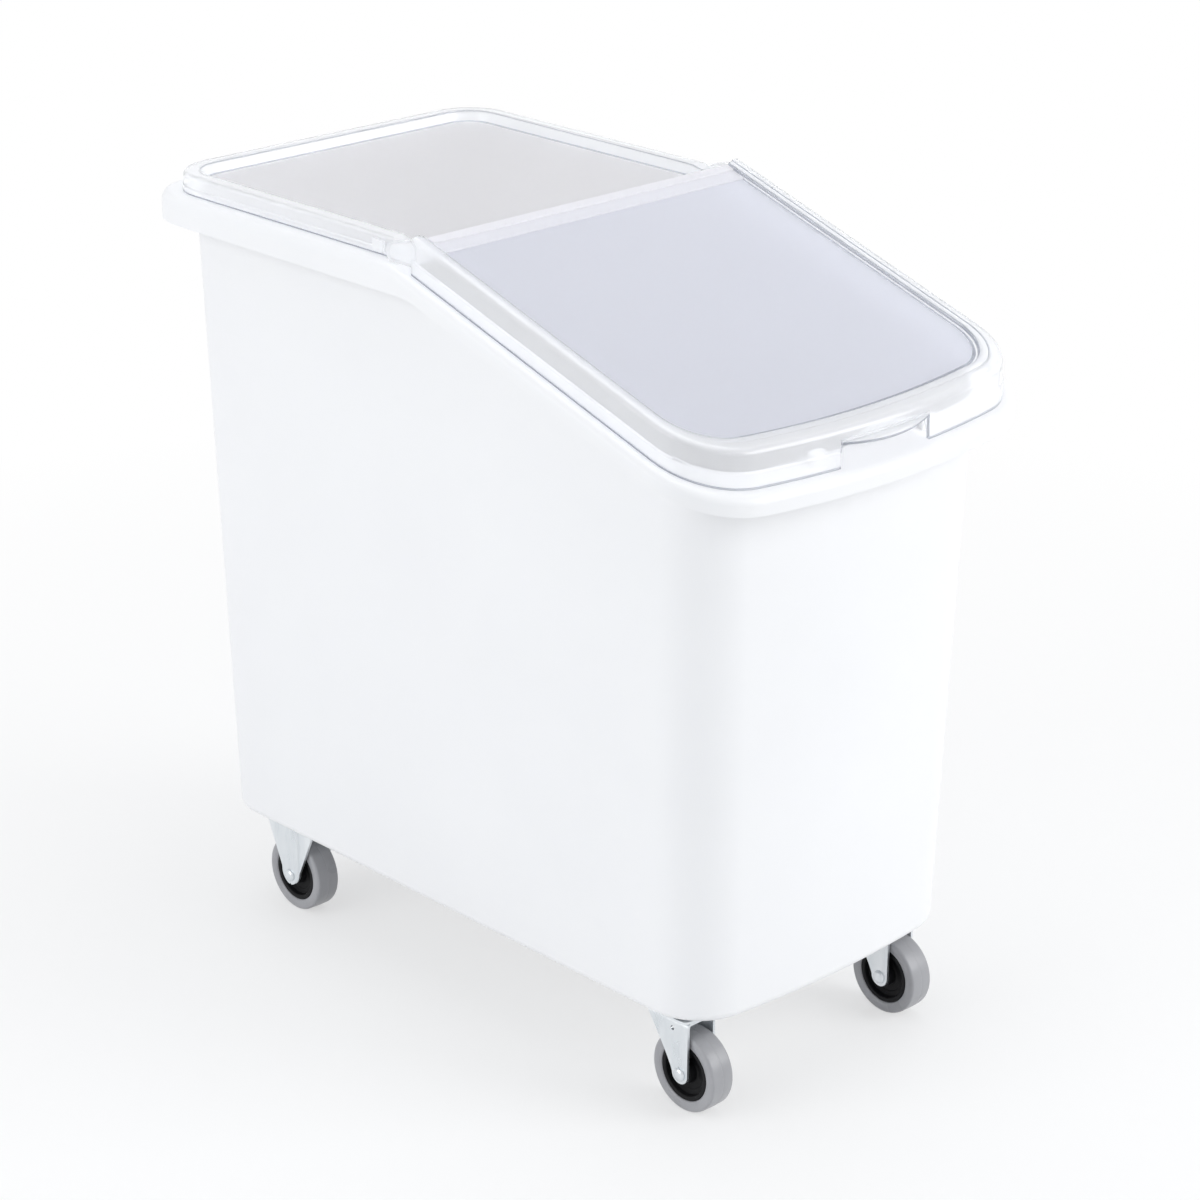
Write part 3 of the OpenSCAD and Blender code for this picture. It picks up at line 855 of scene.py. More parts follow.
@dataclass(frozen=True)
class BinForm:
    """The bin's main sizes, read from the frame where it holds them."""

    bend: Bend = Bend(math.radians(17.6), 70 * MM)
    bend_y: float = 20 * MM
    rim_corner_front: float = 74 * MM
    rim_corner_rear: float = 60 * MM
    front_bow: float = 1090 * MM
    flange_depth: float = 24 * MM
    flange_depth_front: float = 16 * MM
    tub_wall: float = 4 * MM
    lid_wall: float = 3 * MM
    seat_gap: float = 0.3 * MM
    side_steps: int = 20
    bend_reach: float = 36 * MM
    bend_steps: int = 18
    bend_clear: float = 6 * MM

    @property
    def rim_level(self) -> float:
        """Height of the level rim, on which the rear cover sits."""
        return node_box("rear_cover")[0].z + COVER.lip_depth

    @property
    def bow_centre(self) -> float:
        """Place on the middle line round which the bowed front turns."""
        return node_box("rim")[0].y + self.front_bow

    def rim_z(self, y: float) -> float:
        """Height of the rim's top."""
        return self.bend.height(self.rim_level, self.bend_y, y)

    def flange_z(self, y: float) -> float:
        """Height of the flange's lower edge."""
        shift = (self.flange_depth - self.flange_depth_front) / math.tan(self.bend.slope)
        return self.bend.height(self.rim_level - self.flange_depth, self.bend_y - shift, y)

    def stations(self, front: float, rear: float) -> tuple[float, ...]:
        """Places along a side at which rows cross it, closer together round the bend.

        Args:
            front: First place.
            rear: Last place.

        Returns:
            The places, front to rear.
        """
        clear = self.bend_reach + self.bend_clear
        wide = [y for y in spread(front, rear, self.side_steps) if abs(y - self.bend_y) >= clear]
        close = spread(self.bend_y - self.bend_reach, self.bend_y + self.bend_reach, self.bend_steps)
        return tuple(sorted(wide + [y for y in close if front < y < rear]))


# Sub-assemblies


@dataclass
class Tub:
    """The white tub: one drafted moulding with an outward flange and a round-edged rim."""

    form: BinForm
    base_width: float = 334 * MM
    base_front: float = 327 * MM
    base_rear: float = 331 * MM
    draft: float = math.radians(1.4)
    front_corner: float = 56 * MM
    rear_corner: float = 44 * MM
    side_front: float = -260 * MM
    side_rear: float = 280 * MM
    base_edge: float = 9 * MM
    floor: float = 5 * MM
    rim_round: float = 7 * MM
    mouth_round: float = 4 * MM
    edge_round: float = 0.9 * MM
    lug_width: float = 18 * MM
    lug_pitch: float = 136 * MM
    lug_height: float = 11 * MM
    lug_thickness: float = 7 * MM
    lug_round: float = 2 * MM
    draft_passes: int = 3
    round_steps: int = 6
    mouth_steps: int = 5
    rim_shares: Point2 = (0.33, 0.67)

    @property
    def ground(self) -> float:
        """Height of the tub's underside."""
        return node_box("tub")[0].z

    def body_plan(self, outset: float) -> list[Stop]:
        """The body's outline, with its walls moved out from those of the base."""
        return Outline(self.base_width / 2 + outset, -self.base_front - outset, self.front_corner,
                       self.form.stations(self.side_front, self.side_rear), self.form.bow_centre,
                       self.base_rear + outset, self.rear_corner).ring()

    def body_row(self, inset: float, level: HeightRule) -> list[Point3]:
        """One row round the drafted body.

        Args:
            inset: Distance inside the outer wall.
            level: Height of the row at a place along the bin.

        Returns:
            The row's points.
        """
        lean = math.tan(self.draft)
        full = lean * (self.form.rim_level - self.ground)
        row = []
        for low, high in zip(self.body_plan(0.0), self.body_plan(full)):
            y = low.place.y
            for _ in range(self.draft_passes):
                share = lean * (level(y) - self.ground) / full
                at = low.place.lerp(high.place, share) - low.out.lerp(high.out, share) * inset
                y = at.y
            row.append((at.x, at.y, level(at.y)))
        return row

    def rim_row(self, inset: float, level: HeightRule) -> list[Point3]:
        """One row round the flange.

        Args:
            inset: Distance inside the flange's outer face.
            level: Height of the row at a place along the bin.

        Returns:
            The row's points.
        """
        low, high = node_box("rim")
        plan = Outline(high.x, low.y, self.form.rim_corner_front,
                       self.form.stations(self.side_front, self.side_rear), self.form.bow_centre,
                       high.y, self.form.rim_corner_rear)
        places = [stop.place - stop.out * inset for stop in plan.ring()]
        return [(at.x, at.y, level(at.y)) for at in places]

    def rows(self) -> list[list[Point3]]:
        """Rows of the moulding's upper skin, from the floor up the walls and out over the rim."""
        form, wall, mouth, rim = self.form, self.form.tub_wall, self.mouth_round, self.rim_round
        inner = self.base_edge - wall
        low = self.ground + self.floor + inner
        rows = []
        for cos_a, sin_a in arc(0, 90, self.round_steps):
            rows.append(self.body_row(wall + inner * (1 - sin_a), lambda y, c=cos_a: low - inner * c))
        for share in QUARTERS:
            rows.append(self.body_row(wall, lambda y, s=share: low + s * (form.rim_z(y) - mouth - low)))
        for cos_a, sin_a in arc(0, 90, self.mouth_steps):
            rows.append(self.body_row(wall - mouth * (1 - cos_a),
                                      lambda y, s=sin_a: form.rim_z(y) - mouth * (1 - s)))
        inside, outside = rows[-1], self.rim_row(rim, form.rim_z)
        for share in self.rim_shares:
            places = [Vector(a).lerp(Vector(b), share) for a, b in zip(inside, outside)]
            rows.append([(at.x, at.y, form.rim_z(at.y)) for at in places])
        for cos_a, sin_a in arc(0, 90, self.round_steps):
            rows.append(self.rim_row(rim * (1 - sin_a), lambda y, c=cos_a: form.rim_z(y) - rim * (1 - c)))
        rows.append(self.rim_row(0.0, form.flange_z))
        return rows

    def shell(self) -> bpy.types.Object:
        """The moulding, with its wall given to its skin."""
        build = bmesh.new()
        rows = loft(build, self.rows(), closed=True)
        build.faces.new(reversed(rows[0]))
        shell = skin_piece("tub_shell", build)
        thicken(shell, self.form.tub_wall)
        return soften(shell, self.edge_round)

    def lugs(self) -> bpy.types.Object:
        """The two raised lugs on the front rim, either side of the grip."""
        back = -self.base_front - math.tan(self.draft) * (self.form.rim_level - self.ground)
        build = bmesh.new()
        for side in SIDES:
            middle = side * self.lug_pitch / 2
            add_block(build, (middle - self.lug_width / 2, middle + self.lug_width / 2),
                      (back - self.lug_thickness, back), (-self.form.tub_wall / 2, self.lug_height),
                      self.form.rim_z)
        return soften(solid_piece("rim_lugs", build), self.lug_round, segments=3)

    def build(self) -> None:
        """Builds and dresses the tub."""
        shell = dress(self.shell(), POLYETHYLENE, "base")
        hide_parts("tub", "rim")
        lugs = dress(self.lugs(), POLYETHYLENE, "base")
        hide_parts("lugs")


@dataclass
class RearCover:
    """The clear rear cover: a raised border round a sunk panel, with a cross bar at the hinge."""

    form: BinForm
    side_front: float = 34 * MM
    side_rear: float = 300 * MM
    least_corner: float = 2 * MM
    corner_share: float = 0.25
    corner_steps: int = 10
    plain_shares: tuple[float, ...] = (0.0, 0.09, 0.42)
    stepped_shares: tuple[float, ...] = (0.50, 0.56)
    outer_round: float = 4 * MM
    outer_steps: int = 5
    inner_round: float = 3 * MM
    inner_steps: int = 4
    step: float = 1.0 * MM
    wall_lean: float = 2.0 * MM
    tab_front: float = 44 * MM
    tab_length: float = 15 * MM
    tab_height: float = 11 * MM
    tab_rise: float = 1.6 * MM
    tab_sink: float = 1.5 * MM
    tab_lift: float = 2.5 * MM
    tab_round: float = 0.6 * MM
    bore_play: float = 0.05 * MM
    boss_wall: float = 2.6 * MM
    boss_round: float = 0.5 * MM
    boss_gap: float = 0.2 * MM
    boss_facets: int = 40

    @property
    def half(self) -> float:
        """Half of the cover's width."""
        return node_box("rear_cover")[1].x

    def top_z(self, y: float) -> float:
        """Height of the border's top, which falls towards the hinge."""
        bend_y = self.form.bend_y + COVER.bend_behind
        return self.form.bend.height(self.form.rim_level + COVER.height, bend_y, y)

    def row(self, inset: float, level: HeightRule) -> list[Point3]:
        """One row round the cover.

        Args:
            inset: Distance inside the outer skirt.
            level: Height of the row at a place along the bin.

        Returns:
            The row's points.
        """
        low, high = node_box("rear_cover")
        front_corner = max(COVER.front_corner - self.corner_share * inset, self.least_corner)
        plan = Outline(high.x - inset, low.y + inset, front_corner,
                       self.form.stations(self.side_front, self.side_rear), rear=high.y - inset,
                       rear_corner=COVER.corner - inset, corner_steps=self.corner_steps)
        return [(stop.place.x, stop.place.y, level(stop.place.y)) for stop in plan.ring()]

    def shell(self) -> bpy.types.Object:
        """The moulding, with its wall given to its skin."""
        seat = self.form.rim_level + self.form.seat_gap
        panel = self.form.rim_level + COVER.height - COVER.recess
        top_z, step, outer, inner = self.top_z, self.step, self.outer_round, self.inner_round
        skirt = [(share, 0.0) for share in self.plain_shares]
        skirt += [(share, step) for share in self.stepped_shares]
        rows = []
        for share, inset in skirt:
            rows.append(self.row(inset, lambda y, s=share: seat + s * (top_z(y) - seat - outer)))
        for cos_a, sin_a in arc(0, 90, self.outer_steps):
            rows.append(self.row(step + outer * (1 - cos_a), lambda y, s=sin_a: top_z(y) - outer * (1 - s)))
        crest = len(rows)
        brink = COVER.border - self.wall_lean
        for cos_a, sin_a in arc(90, 0, self.inner_steps):
            rows.append(self.row(brink - inner * (1 - cos_a), lambda y, s=sin_a: top_z(y) - inner * (1 - s)))
        foot = len(rows)
        for cos_a, sin_a in arc(180, 270, self.inner_steps):
            rows.append(self.row(COVER.border + inner * (1 + cos_a),
                                 lambda y, s=sin_a: panel + inner * (1 + s)))
        build = bmesh.new()
        verts = loft(build, rows, closed=True)
        build.faces.new(verts[-1]).material_index = Zone.PANEL
        # Bands at the skirt's foot, near the crest and at the panel's step take the painted edge shade.
        mark_painted_edge_shade(verts, (0, crest + 1, foot + 2))
        return clear_moulding("cover_shell", build, self.form.lid_wall)

    def tabs(self) -> bpy.types.Object:
        """The small square tabs on the side skirts, behind the hinge hooks."""
        low = self.form.rim_level + self.tab_lift
        build = bmesh.new()
        for side in SIDES:
            add_block(build, (side * (self.half - self.tab_sink), side * (self.half + self.tab_rise)),
                      (self.tab_front, self.tab_front + self.tab_length), (0.0, self.tab_height),
                      lambda y: low)
        return soften(solid_piece("cover_tabs", build), self.tab_round)

    def boss(self, side: int, axis: Vector) -> bpy.types.Object:
        """One bored boss in which the front lid turns.

        Args:
            side: -1 for the left and 1 for the right.
            axis: A point on the hinge axis.

        Returns:
            The boss.
        """
        bore, skin = LID.stub_radius + self.bore_play, LID.stub_radius + self.boss_wall
        length = 2 * self.form.lid_wall
        corners = [(bore, 0.0), (skin, 0.0), (skin, length), (bore, length)]
        ring = rounded(corners, self.boss_round, steps=2, closed=True)
        inner = Vector((side * (self.half - length - self.boss_gap), axis.y, axis.z))
        label = "left" if side < 0 else "right"
        return lathe(f"cover_boss_{label}", ring, inner, side * ACROSS, self.boss_facets)

    def build(self, axis: Vector) -> None:
        """Builds and dresses the rear cover round the hinge axis."""
        # The edge faces take the darker edge tint, which is painted shade.
        shell = dress(self.shell(), CLEAR, "rear_cover", (REAR_PANEL, EDGE))
        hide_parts("rear_cover")
        dress(self.tabs(), CLEAR, "rear_cover")
        for side in SIDES:
            dress(self.boss(side, axis), CLEAR, "rear_cover")


@dataclass
class FrontLid:
    """The clear front lid: a wide border, a deep skirt, a sunk panel and a grip notch."""

    form: BinForm
    side_front: float = -258 * MM
    plain_shares: tuple[float, ...] = (0.0, 0.06, 0.44)
    stepped_shares: tuple[float, ...] = (0.50, 0.56)
    outer_round: float = 5 * MM
    outer_steps: int = 6
    step: float = 1.2 * MM
    crest_insets: Point2 = (8 * MM, 10.5 * MM)
    bead_insets: Point2 = (11.5 * MM, 15 * MM)
    panel_insets: Point2 = (16.5 * MM, 19.4 * MM)
    bead: float = 1.6 * MM
    border_round: float = 0.9 * MM
    border_steps: int = 3
    edge_corners: tuple[int, ...] = (1, 3, 4)
    notch_edge: float = 0.4 * MM
    grip_rise: float = 1.5 * MM
    grip_drop: float = 2.5 * MM
    grip_columns: int = 24
    grip_rows: int = 8
    bar_sink: float = 1 * MM
    bar_gap: float = 0.4 * MM
    bar_round: float = 0.7 * MM
    ridge_share: float = 0.42
    hook_wall: float = 2.2 * MM
    hook_depth: float = 3.0 * MM
    ear_inset: float = 0.2 * MM
    ear_round: float = 0.8 * MM
    ear_steps: int = 14
    stub_sink: float = 1 * MM
    stub_round: float = 0.5 * MM
    stub_facets: int = 32

    @property
    def half(self) -> float:
        """Half of the lid's width over its skirts."""
        return node_box("rear_cover")[1].x + LID.overhang

    @property
    def front(self) -> float:
        """Place of the front skirt's outer face."""
        return node_box("rim")[0].y + LID.margin

    @property
    def notch_top(self) -> float:
        """Height of the grip notch's top."""
        return self.form.rim_z(self.front) + LID.notch_height

    @property
    def hinge_face(self) -> float:
        """Distance of an ear's inner face from the middle of the bin."""
        return node_box("rear_cover")[1].x + LID.hinge_gap

    def top_z(self, y: float) -> float:
        """Height of the border's top."""
        return self.form.rim_z(y) + LID.height

    def stops(self, inset: float) -> list[Stop]:
        """The stops of one row, from the rear left round the front to the rear right."""
        ramp = min(max((inset - LID.ramp_start) / (LID.border - LID.ramp_start), 0.0), 1.0)
        stations = self.form.stations(self.side_front, LID.rear - MERGE_GAP) + (LID.rear,)
        plan = Outline(self.half - inset, self.front + inset + ramp * LID.front_extra,
                       LID.corner - inset + ramp * LID.corner_extra, stations, self.form.bow_centre)
        notch, span = LID.notch_width / 2, plan.front_span
        places = [share * notch for share in QUARTERS]
        places += [notch - self.notch_edge, notch + self.notch_edge]
        places += [notch + share * (span - notch) for share in QUARTERS]
        shares = sorted({side * place / span for side in SIDES for place in places} | {0.0})
        return replace(plan, end_stations=tuple(shares)).front_run()

    def row(self, inset: float, rise: float) -> list[Point3]:
        """One row at a height above the rim, from the rear left round to the rear right."""
        places = [stop.place for stop in self.stops(inset)]
        return [(at.x, at.y, self.form.rim_z(at.y) + rise) for at in places]

    def skirt_row(self, inset: float, share: float) -> list[Point3]:
        """One row of the skirt, a share of the way from its lower edge, which the notch lifts.

        Args:
            inset: Distance inside the skirt's outer face.
            share: How far up the skirt the row lies.

        Returns:
            The row's points.
        """
        row = []
        for stop in self.stops(inset):
            x, y = stop.place
            in_notch = y < LID.rear - LID.corner and abs(x) < LID.notch_width / 2
            low = self.notch_top if in_notch else self.form.rim_z(y) + self.form.seat_gap
            high = self.top_z(y) - self.outer_round
            row.append((x, y, low + share * (high - low)))
        return row

    def border_profile(self) -> list[Point2]:
        """Insets and rises across the border: its crest, the bead inside it and the panel's edge."""
        levels = ((self.crest_insets, LID.height), (self.bead_insets, LID.height - self.bead),
                  (self.panel_insets, LID.height - LID.recess))
        corners = [(inset, rise) for insets, rise in levels for inset in insets]
        return rounded(corners, self.border_round, self.border_steps)

    def shell(self) -> bpy.types.Object:
        """The moulding, with its wall given to its skin."""
        step, outer = self.step, self.outer_round
        rows = [self.skirt_row(0.0, share) for share in self.plain_shares]
        rows += [self.skirt_row(step, share) for share in self.stepped_shares]
        rows += [self.row(step + outer * (1 - c), LID.height - outer * (1 - s))
                 for c, s in arc(0, 90, self.outer_steps)]
        crest = len(rows)
        rows += [self.row(inset, rise) for inset, rise in self.border_profile()]
        build = bmesh.new()
        verts = loft(build, rows, closed=False)
        build.faces.new(verts[-1]).material_index = Zone.PANEL
        # Bands at the skirt's foot and at three corners across the border take the painted edge shade.
        mark_painted_edge_shade(verts, [0] + [crest + corner * (self.border_steps + 1) for corner in self.edge_corners])
        return clear_moulding("lid_shell", build, self.form.lid_wall)

    def grip(self) -> bpy.types.Object:
        """The lens-shaped lip over the grip notch."""
        half, bow = LID.notch_width / 2, self.form.bow_centre - self.front
        rows = []
        for reach in spread(-1, 1, self.grip_rows):
            row = []
            for u in spread(-1, 1, self.grip_columns):
                lens = 1 - u * u
                back = self.front + bow - math.sqrt(bow ** 2 - (u * half) ** 2)
                drop = self.grip_drop * reach * abs(reach) * lens
                row.append((u * half, back - reach * LID.grip_bulge * lens,
                            self.notch_top + self.grip_rise - drop))
            rows.append(row)
        build = bmesh.new()
        loft(build, rows, closed=False)
        bmesh.ops.remove_doubles(build, verts=build.verts, dist=MERGE_GAP)
        bmesh.ops.dissolve_degenerate(build, dist=SLIVER, edges=build.edges)
        return clear_moulding("lid_grip", build, self.form.lid_wall)

    def rear_bar(self) -> bpy.types.Object:
        """The raised bar across the panel's rear end, with a ridge beside the rear cover."""
        reach = self.half - LID.border
        panel = LID.height - LID.recess
        build = bmesh.new()
        for depth, low, high in ((LID.bar_width, panel - self.bar_sink, panel + LID.bar_rise),
                                 (self.ridge_share * LID.bar_width, panel, panel + 2 * LID.bar_rise)):
            add_block(build, (-reach, reach), (-depth, LID.rear - self.bar_gap), (low, high), self.form.rim_z)
        return soften(solid_piece("lid_rear_bar", build), self.bar_round)

    def ear(self, side: int, axis: Vector) -> bpy.types.Object:
        """One pivot ear, with a pocket in its outer face.

        Args:
            side: -1 for the left and 1 for the right.
            axis: A point on the hinge axis.

        Returns:
            The ear.
        """
        top = self.top_z(LID.rear) - self.form.lid_wall
        radius, root = LID.ear_radius, LID.ear_root
        outline = [(axis.y + LID.ear_back * c, axis.z + radius * s)
                   for c, s in arc(90, -90, self.ear_steps)]
        outline += [(LID.rear - root, axis.z - radius), (LID.rear - root, top - root), (LID.rear, top)]
        faces = (self.hinge_face, self.half - self.ear_inset)
        build = bmesh.new()
        inner, outer = loft(build, [[(side * x, y, z) for y, z in outline] for x in faces], closed=True)
        build.faces.new(inner)
        pocket = build.faces.new(outer)
        bmesh.ops.recalc_face_normals(build, faces=build.faces)
        bmesh.ops.inset_individual(build, faces=[pocket], thickness=self.hook_wall, depth=-self.hook_depth)
        return soften(solid_piece("lid_ear", build), self.ear_round)

    def stub(self, side: int, axis: Vector) -> bpy.types.Object:
        """The stub that turns in the rear cover's boss.

        Args:
            side: -1 for the left and 1 for the right.
            axis: A point on the hinge axis.

        Returns:
            The stub.
        """
        reach, radius, sink = 2 * self.form.lid_wall, LID.stub_radius, self.stub_sink
        corners = [(0.0, -reach), (radius, -reach), (radius, sink), (0.0, sink)]
        profile = rounded(corners, self.stub_round, steps=3)
        centre = Vector((side * self.hinge_face, axis.y, axis.z))
        return lathe("lid_stub", profile, centre, side * ACROSS, self.stub_facets)

    def build(self, axis: Vector) -> None:
        """Builds and dresses the front lid round the hinge axis."""
        # The panel's darker tint is partly painted shade, and the edge faces take the painted edge shade.
        shell = dress(self.shell(), CLEAR, "front_lid", (PANEL, EDGE))
        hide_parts("front_lid")
        dress(self.grip(), CLEAR, "front_lid", (PANEL, EDGE))
        dress(self.rear_bar(), REAR_PANEL, "front_lid")
        for side in SIDES:
            dress(self.ear(side, axis), CLEAR, "front_lid")
            dress(self.stub(side, axis), CLEAR, "front_lid")


@dataclass
class Wheel:
    """One wheel: a grey tyre on a dished black hub that turns on its axle."""

    corner: Corner
    shoulder: float = 2.5 * MM
    shoulder_steps: int = 8
    crown: float = 0.25 * MM
    lip: float = 1.2 * MM
    land: float = 1.4 * MM
    groove: float = 0.5 * MM
    seam: float = 0.25 * MM
    play: float = 0.02 * MM
    hub_rim: float = 4.4 * MM
    hub_boss: float = 4 * MM
    hub_web: float = 5.5 * MM
    hub_root: float = 0.8 * MM
    hub_foot: float = 2.5 * MM
    hub_ring: float = 0.9 * MM
    hub_ring_insets: Point3 = (5.5 * MM, 4.8 * MM, 3 * MM)
    hub_dish: float = 1.2 * MM
    hub_round: float = 0.6 * MM
    tyre_facets: int = 96
    hub_facets: int = 72

    @property
    def body(self) -> str:
        """The CAD body of this wheel."""
        return self.corner.node("wheel")

    @property
    def centre(self) -> Vector:
        """Middle of the wheel."""
        return middle_of(self.corner.node("tyre"))

    def tyre(self) -> bpy.types.Object:
        """The tyre, crowned a little, with the mould's seam round its middle."""
        size = half_size(self.corner.node("tyre"))
        outer, half, shoulder = size.z, size.x, self.shoulder
        bore = half_size(self.corner.node("hub")).z + self.play
        edge = outer - self.crown - shoulder
        side = [(bore, -half + self.lip), (bore + self.lip, -half)]
        side += [(edge + shoulder * c, -half + shoulder * (1 + s))
                 for c, s in arc(-90, 0, self.shoulder_steps)]
        side += [(outer, -self.land), (outer, -self.groove)]
        profile = side + [(outer - self.seam, 0.0)] + mirror(side)
        return lathe(self.corner.node("tyre_tread"), profile, self.centre, ACROSS, self.tyre_facets)

    def hub(self) -> bpy.types.Object:
        """The hub: a rim, a dished web with a ring moulded on it and a boss round the bush."""
        size = half_size(self.corner.node("hub"))
        outer, boss_half = size.z, size.x
        rim_half = half_size(self.corner.node("tyre")).x - self.shoulder / 3
        bore = half_size(self.corner.node("bush")).z + self.play
        rim, boss, web = outer - self.hub_rim, bore + self.hub_boss, self.hub_web
        ring, root, edge = web + self.hub_ring, self.hub_root, self.hub_round
        ring_foot, ring_start, ring_end = (rim - inset for inset in self.hub_ring_insets)
        side = [(bore, boss_half), (boss, boss_half), (boss + root, web + edge), (boss + self.hub_foot, web),
                (ring_foot, web), (ring_start, ring), (ring_end, ring), (rim - edge, web + self.hub_dish),
                (rim, rim_half - root), (rim + root, rim_half), (outer - edge, rim_half),
                (outer, rim_half - edge)]
        profile = rounded(side + mirror(side), edge, steps=3, closed=True)
        return lathe(self.corner.node("wheel_hub"), profile, self.centre, ACROSS, self.hub_facets)

    def build(self, nodes: dict[str, bpy.types.Object]) -> None:
        """Builds and dresses the wheel.

        Args:
            nodes: The CAD nodes' objects.
        """
        tyre = dress(self.tyre(), TREAD, self.body)
        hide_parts(self.corner.node("tyre"))
        hub = dress(self.hub(), HUB, self.body)
        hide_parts(self.corner.node("hub"))
        dress(nodes[self.corner.node("bush")], ZINC, "")


@dataclass
class Caster:
    """One caster: a pressed steel fork, its riveted axle, its bolts and its wheel."""

    corner: Corner
    steel: float = 2.5 * MM
    steel_round: float = 0.45 * MM
    fold: float = 3.5 * MM
    fold_start: float = 15.0
    fold_steps: int = 5
    crown_steps: int = 4
    sheet_steps: int = 12
    swivel_boss: float = 9.2 * MM
    rigid_boss: float = 12.8 * MM
    boss_lift: float = 4.4 * MM
    boss_start: float = 3.0
    boss_steps: int = 10
    swivel_rear: float = 10.5 * MM
    leg_inner: float = 14.5 * MM
    leg_reach: float = 36.2 * MM
    leg_flare: float = 1.15
    leg_steps: int = 12
    flank_steps: int = 6
    rib_half: float = 12.4 * MM
    rib_rise: float = 1.25 * MM
    rib_step: float = 0.9 * MM
    rib_share: float = 0.94
    crest_share: float = 0.9
    rib_steps: int = 8
    peep_drop: float = 8.5 * MM
    peep_radius: float = 2.2 * MM
    peep_facets: int = 24
    plate_corner: float = 7 * MM
    plate_steps: int = 6
    plate_round: float = 0.4 * MM
    bolt_radius: float = 3 * MM
    bolt_dome: tuple[Point2, ...] = ((2.97 * MM, 0.1 * MM), (4.86 * MM, 1.08 * MM), (5.4 * MM, 2.1 * MM))
    bolt_depth: float = 2.4 * MM
    bolt_facets: int = 28
    bolt_pitch_x: float = 38 * MM
    front_pitch: float = 72 * MM
    rear_pitch: float = 88 * MM
    nut_ratio: float = 1.9
    nut_profile: tuple[Point2, ...] = ((0.94, 0.0), (1.0, 0.1), (1.0, 1.35), (0.9, 1.6))
    dome_ratio: float = 1.5
    dome_turn: float = 84.0
    dome_steps: int = 4
    nut_round: float = 0.3 * MM
    seat_height: float = 3 * MM
    seat_sink: float = 0.6 * MM
    seat_flare: float = 1 * MM
    seat_round: float = 0.8 * MM
    seat_facets: int = 36
    floor: float = 5 * MM
    ball_radius: float = 2.4 * MM
    ball_circle: float = 12.4 * MM
    balls: int = 12
    ball_steps: int = 12
    ball_facets: int = 18
    cup_outer: float = 16.7 * MM
    cup_play: float = 0.5 * MM
    cup_sink: float = 0.3 * MM
    cup_round: float = 0.5 * MM
    cup_facets: int = 64
    rivet_radius: float = 4 * MM
    rivet_dome: tuple[Point2, ...] = ((3.41 * MM, 0.25 * MM), (5.456 * MM, 1.1 * MM), (6.2 * MM, 2.4 * MM))
    rivet_depth: float = 3 * MM
    rivet_facets: int = 48
    pin_radius: float = 5 * MM
    pin_dome: tuple[Point2, ...] = ((4.5 * MM, 0.1 * MM), (7.6 * MM, 1 * MM), (8.5 * MM, 2.4 * MM))
    pin_depth: float = 4 * MM

    @property
    def bolt_pitch(self) -> Point2:
        """Distances between the bolts, across and along the bin."""
        return self.bolt_pitch_x, self.front_pitch if self.corner.swivels else self.rear_pitch

    @property
    def boss(self) -> float:
        """Radius of a leg's round lower end."""
        return self.swivel_boss if self.corner.swivels else self.rigid_boss

    @property
    def boss_z(self) -> float:
        """Height of the middle of a leg's round lower end."""
        return self.axle.z if self.corner.swivels else self.axle.z + self.boss_lift

    @property
    def fork_body(self) -> str:
        """The CAD body that carries the fork."""
        return self.corner.node("swivel") if self.corner.swivels else "base"

    @property
    def top(self) -> Vector:
        """Middle of the caster's top face, under the tub."""
        middle = middle_of(self.corner.node("bolts"))
        return Vector((middle.x, middle.y, node_box("tub")[0].z))

    @property
    def axle(self) -> Vector:
        """Middle of the axle."""
        return middle_of(self.corner.node("axle"))

    def leg_span(self, z: float, top_z: float, front: float, rear: float) -> Point2:
        """Front and rear edge of a leg at a height.

        Args:
            z: The height.
            top_z: Height of the leg's top.
            front: Front edge at the top.
            rear: Rear edge at the top.

        Returns:
            The two edges, along the bin.
        """
        middle, low = self.axle.y, self.boss_z
        if z <= low:
            reach = math.sqrt(max(self.boss ** 2 - (low - z) ** 2, 0.0))
            return middle - reach, middle + reach
        share = (z - low) / (top_z - low)
        low_front, low_rear = middle - self.boss, middle + self.boss
        return (low_front + (front - low_front) * share,
                low_rear + (rear - low_rear) * share ** self.leg_flare)

    def leg_levels(self, top_z: float) -> list[float]:
        """Heights of the rows up a leg, closer together round its lower end."""
        low = [self.boss_z - self.boss * c for c, _ in arc(self.boss_start, 90, self.boss_steps)]
        return low + spread(self.boss_z, top_z, self.leg_steps)[1:]

    def swivel_fork(self) -> bpy.types.Object:
        """The swivel fork: one folded sheet, with a round crown over the kingpin."""
        low, high = node_box(self.corner.node("fork"))
        half = (high.x - low.x) / 2
        mid, crown = half - self.steel / 2, high.z - self.steel / 2
        flat, shoulder = mid - self.fold, crown - self.fold
        front, rear = low.y, self.top.y + self.swivel_rear
        path: list[tuple[float, float, float, float]] = []
        for z in self.leg_levels(shoulder):
            path.append((mid, z, *self.leg_span(z, shoulder, front, rear)))
        for cos_a, sin_a in arc(self.fold_start, 90, self.fold_steps):
            path.append((flat + self.fold * cos_a, shoulder + self.fold * sin_a, front, rear))
        for x in spread(flat, 0.0, self.crown_steps)[1:]:
            path.append((x, crown, front, max(rear, self.top.y + math.sqrt(half ** 2 - x * x))))
        path += [(-x, z, a, b) for x, z, a, b in reversed(path[:-1])]
        rows = [[(self.top.x + x, y, z) for y in spread(a, b, self.sheet_steps)] for x, z, a, b in path]
        build = bmesh.new()
        loft(build, rows, closed=False)
        fork = solid_piece(self.corner.node("fork_sheet"), build)
        thicken(fork, self.steel, 0.0)
        self.pierce(fork, Vector((self.top.x, self.axle.y + self.boss, crown - self.peep_drop)), half)
        return soften(fork, self.steel_round)

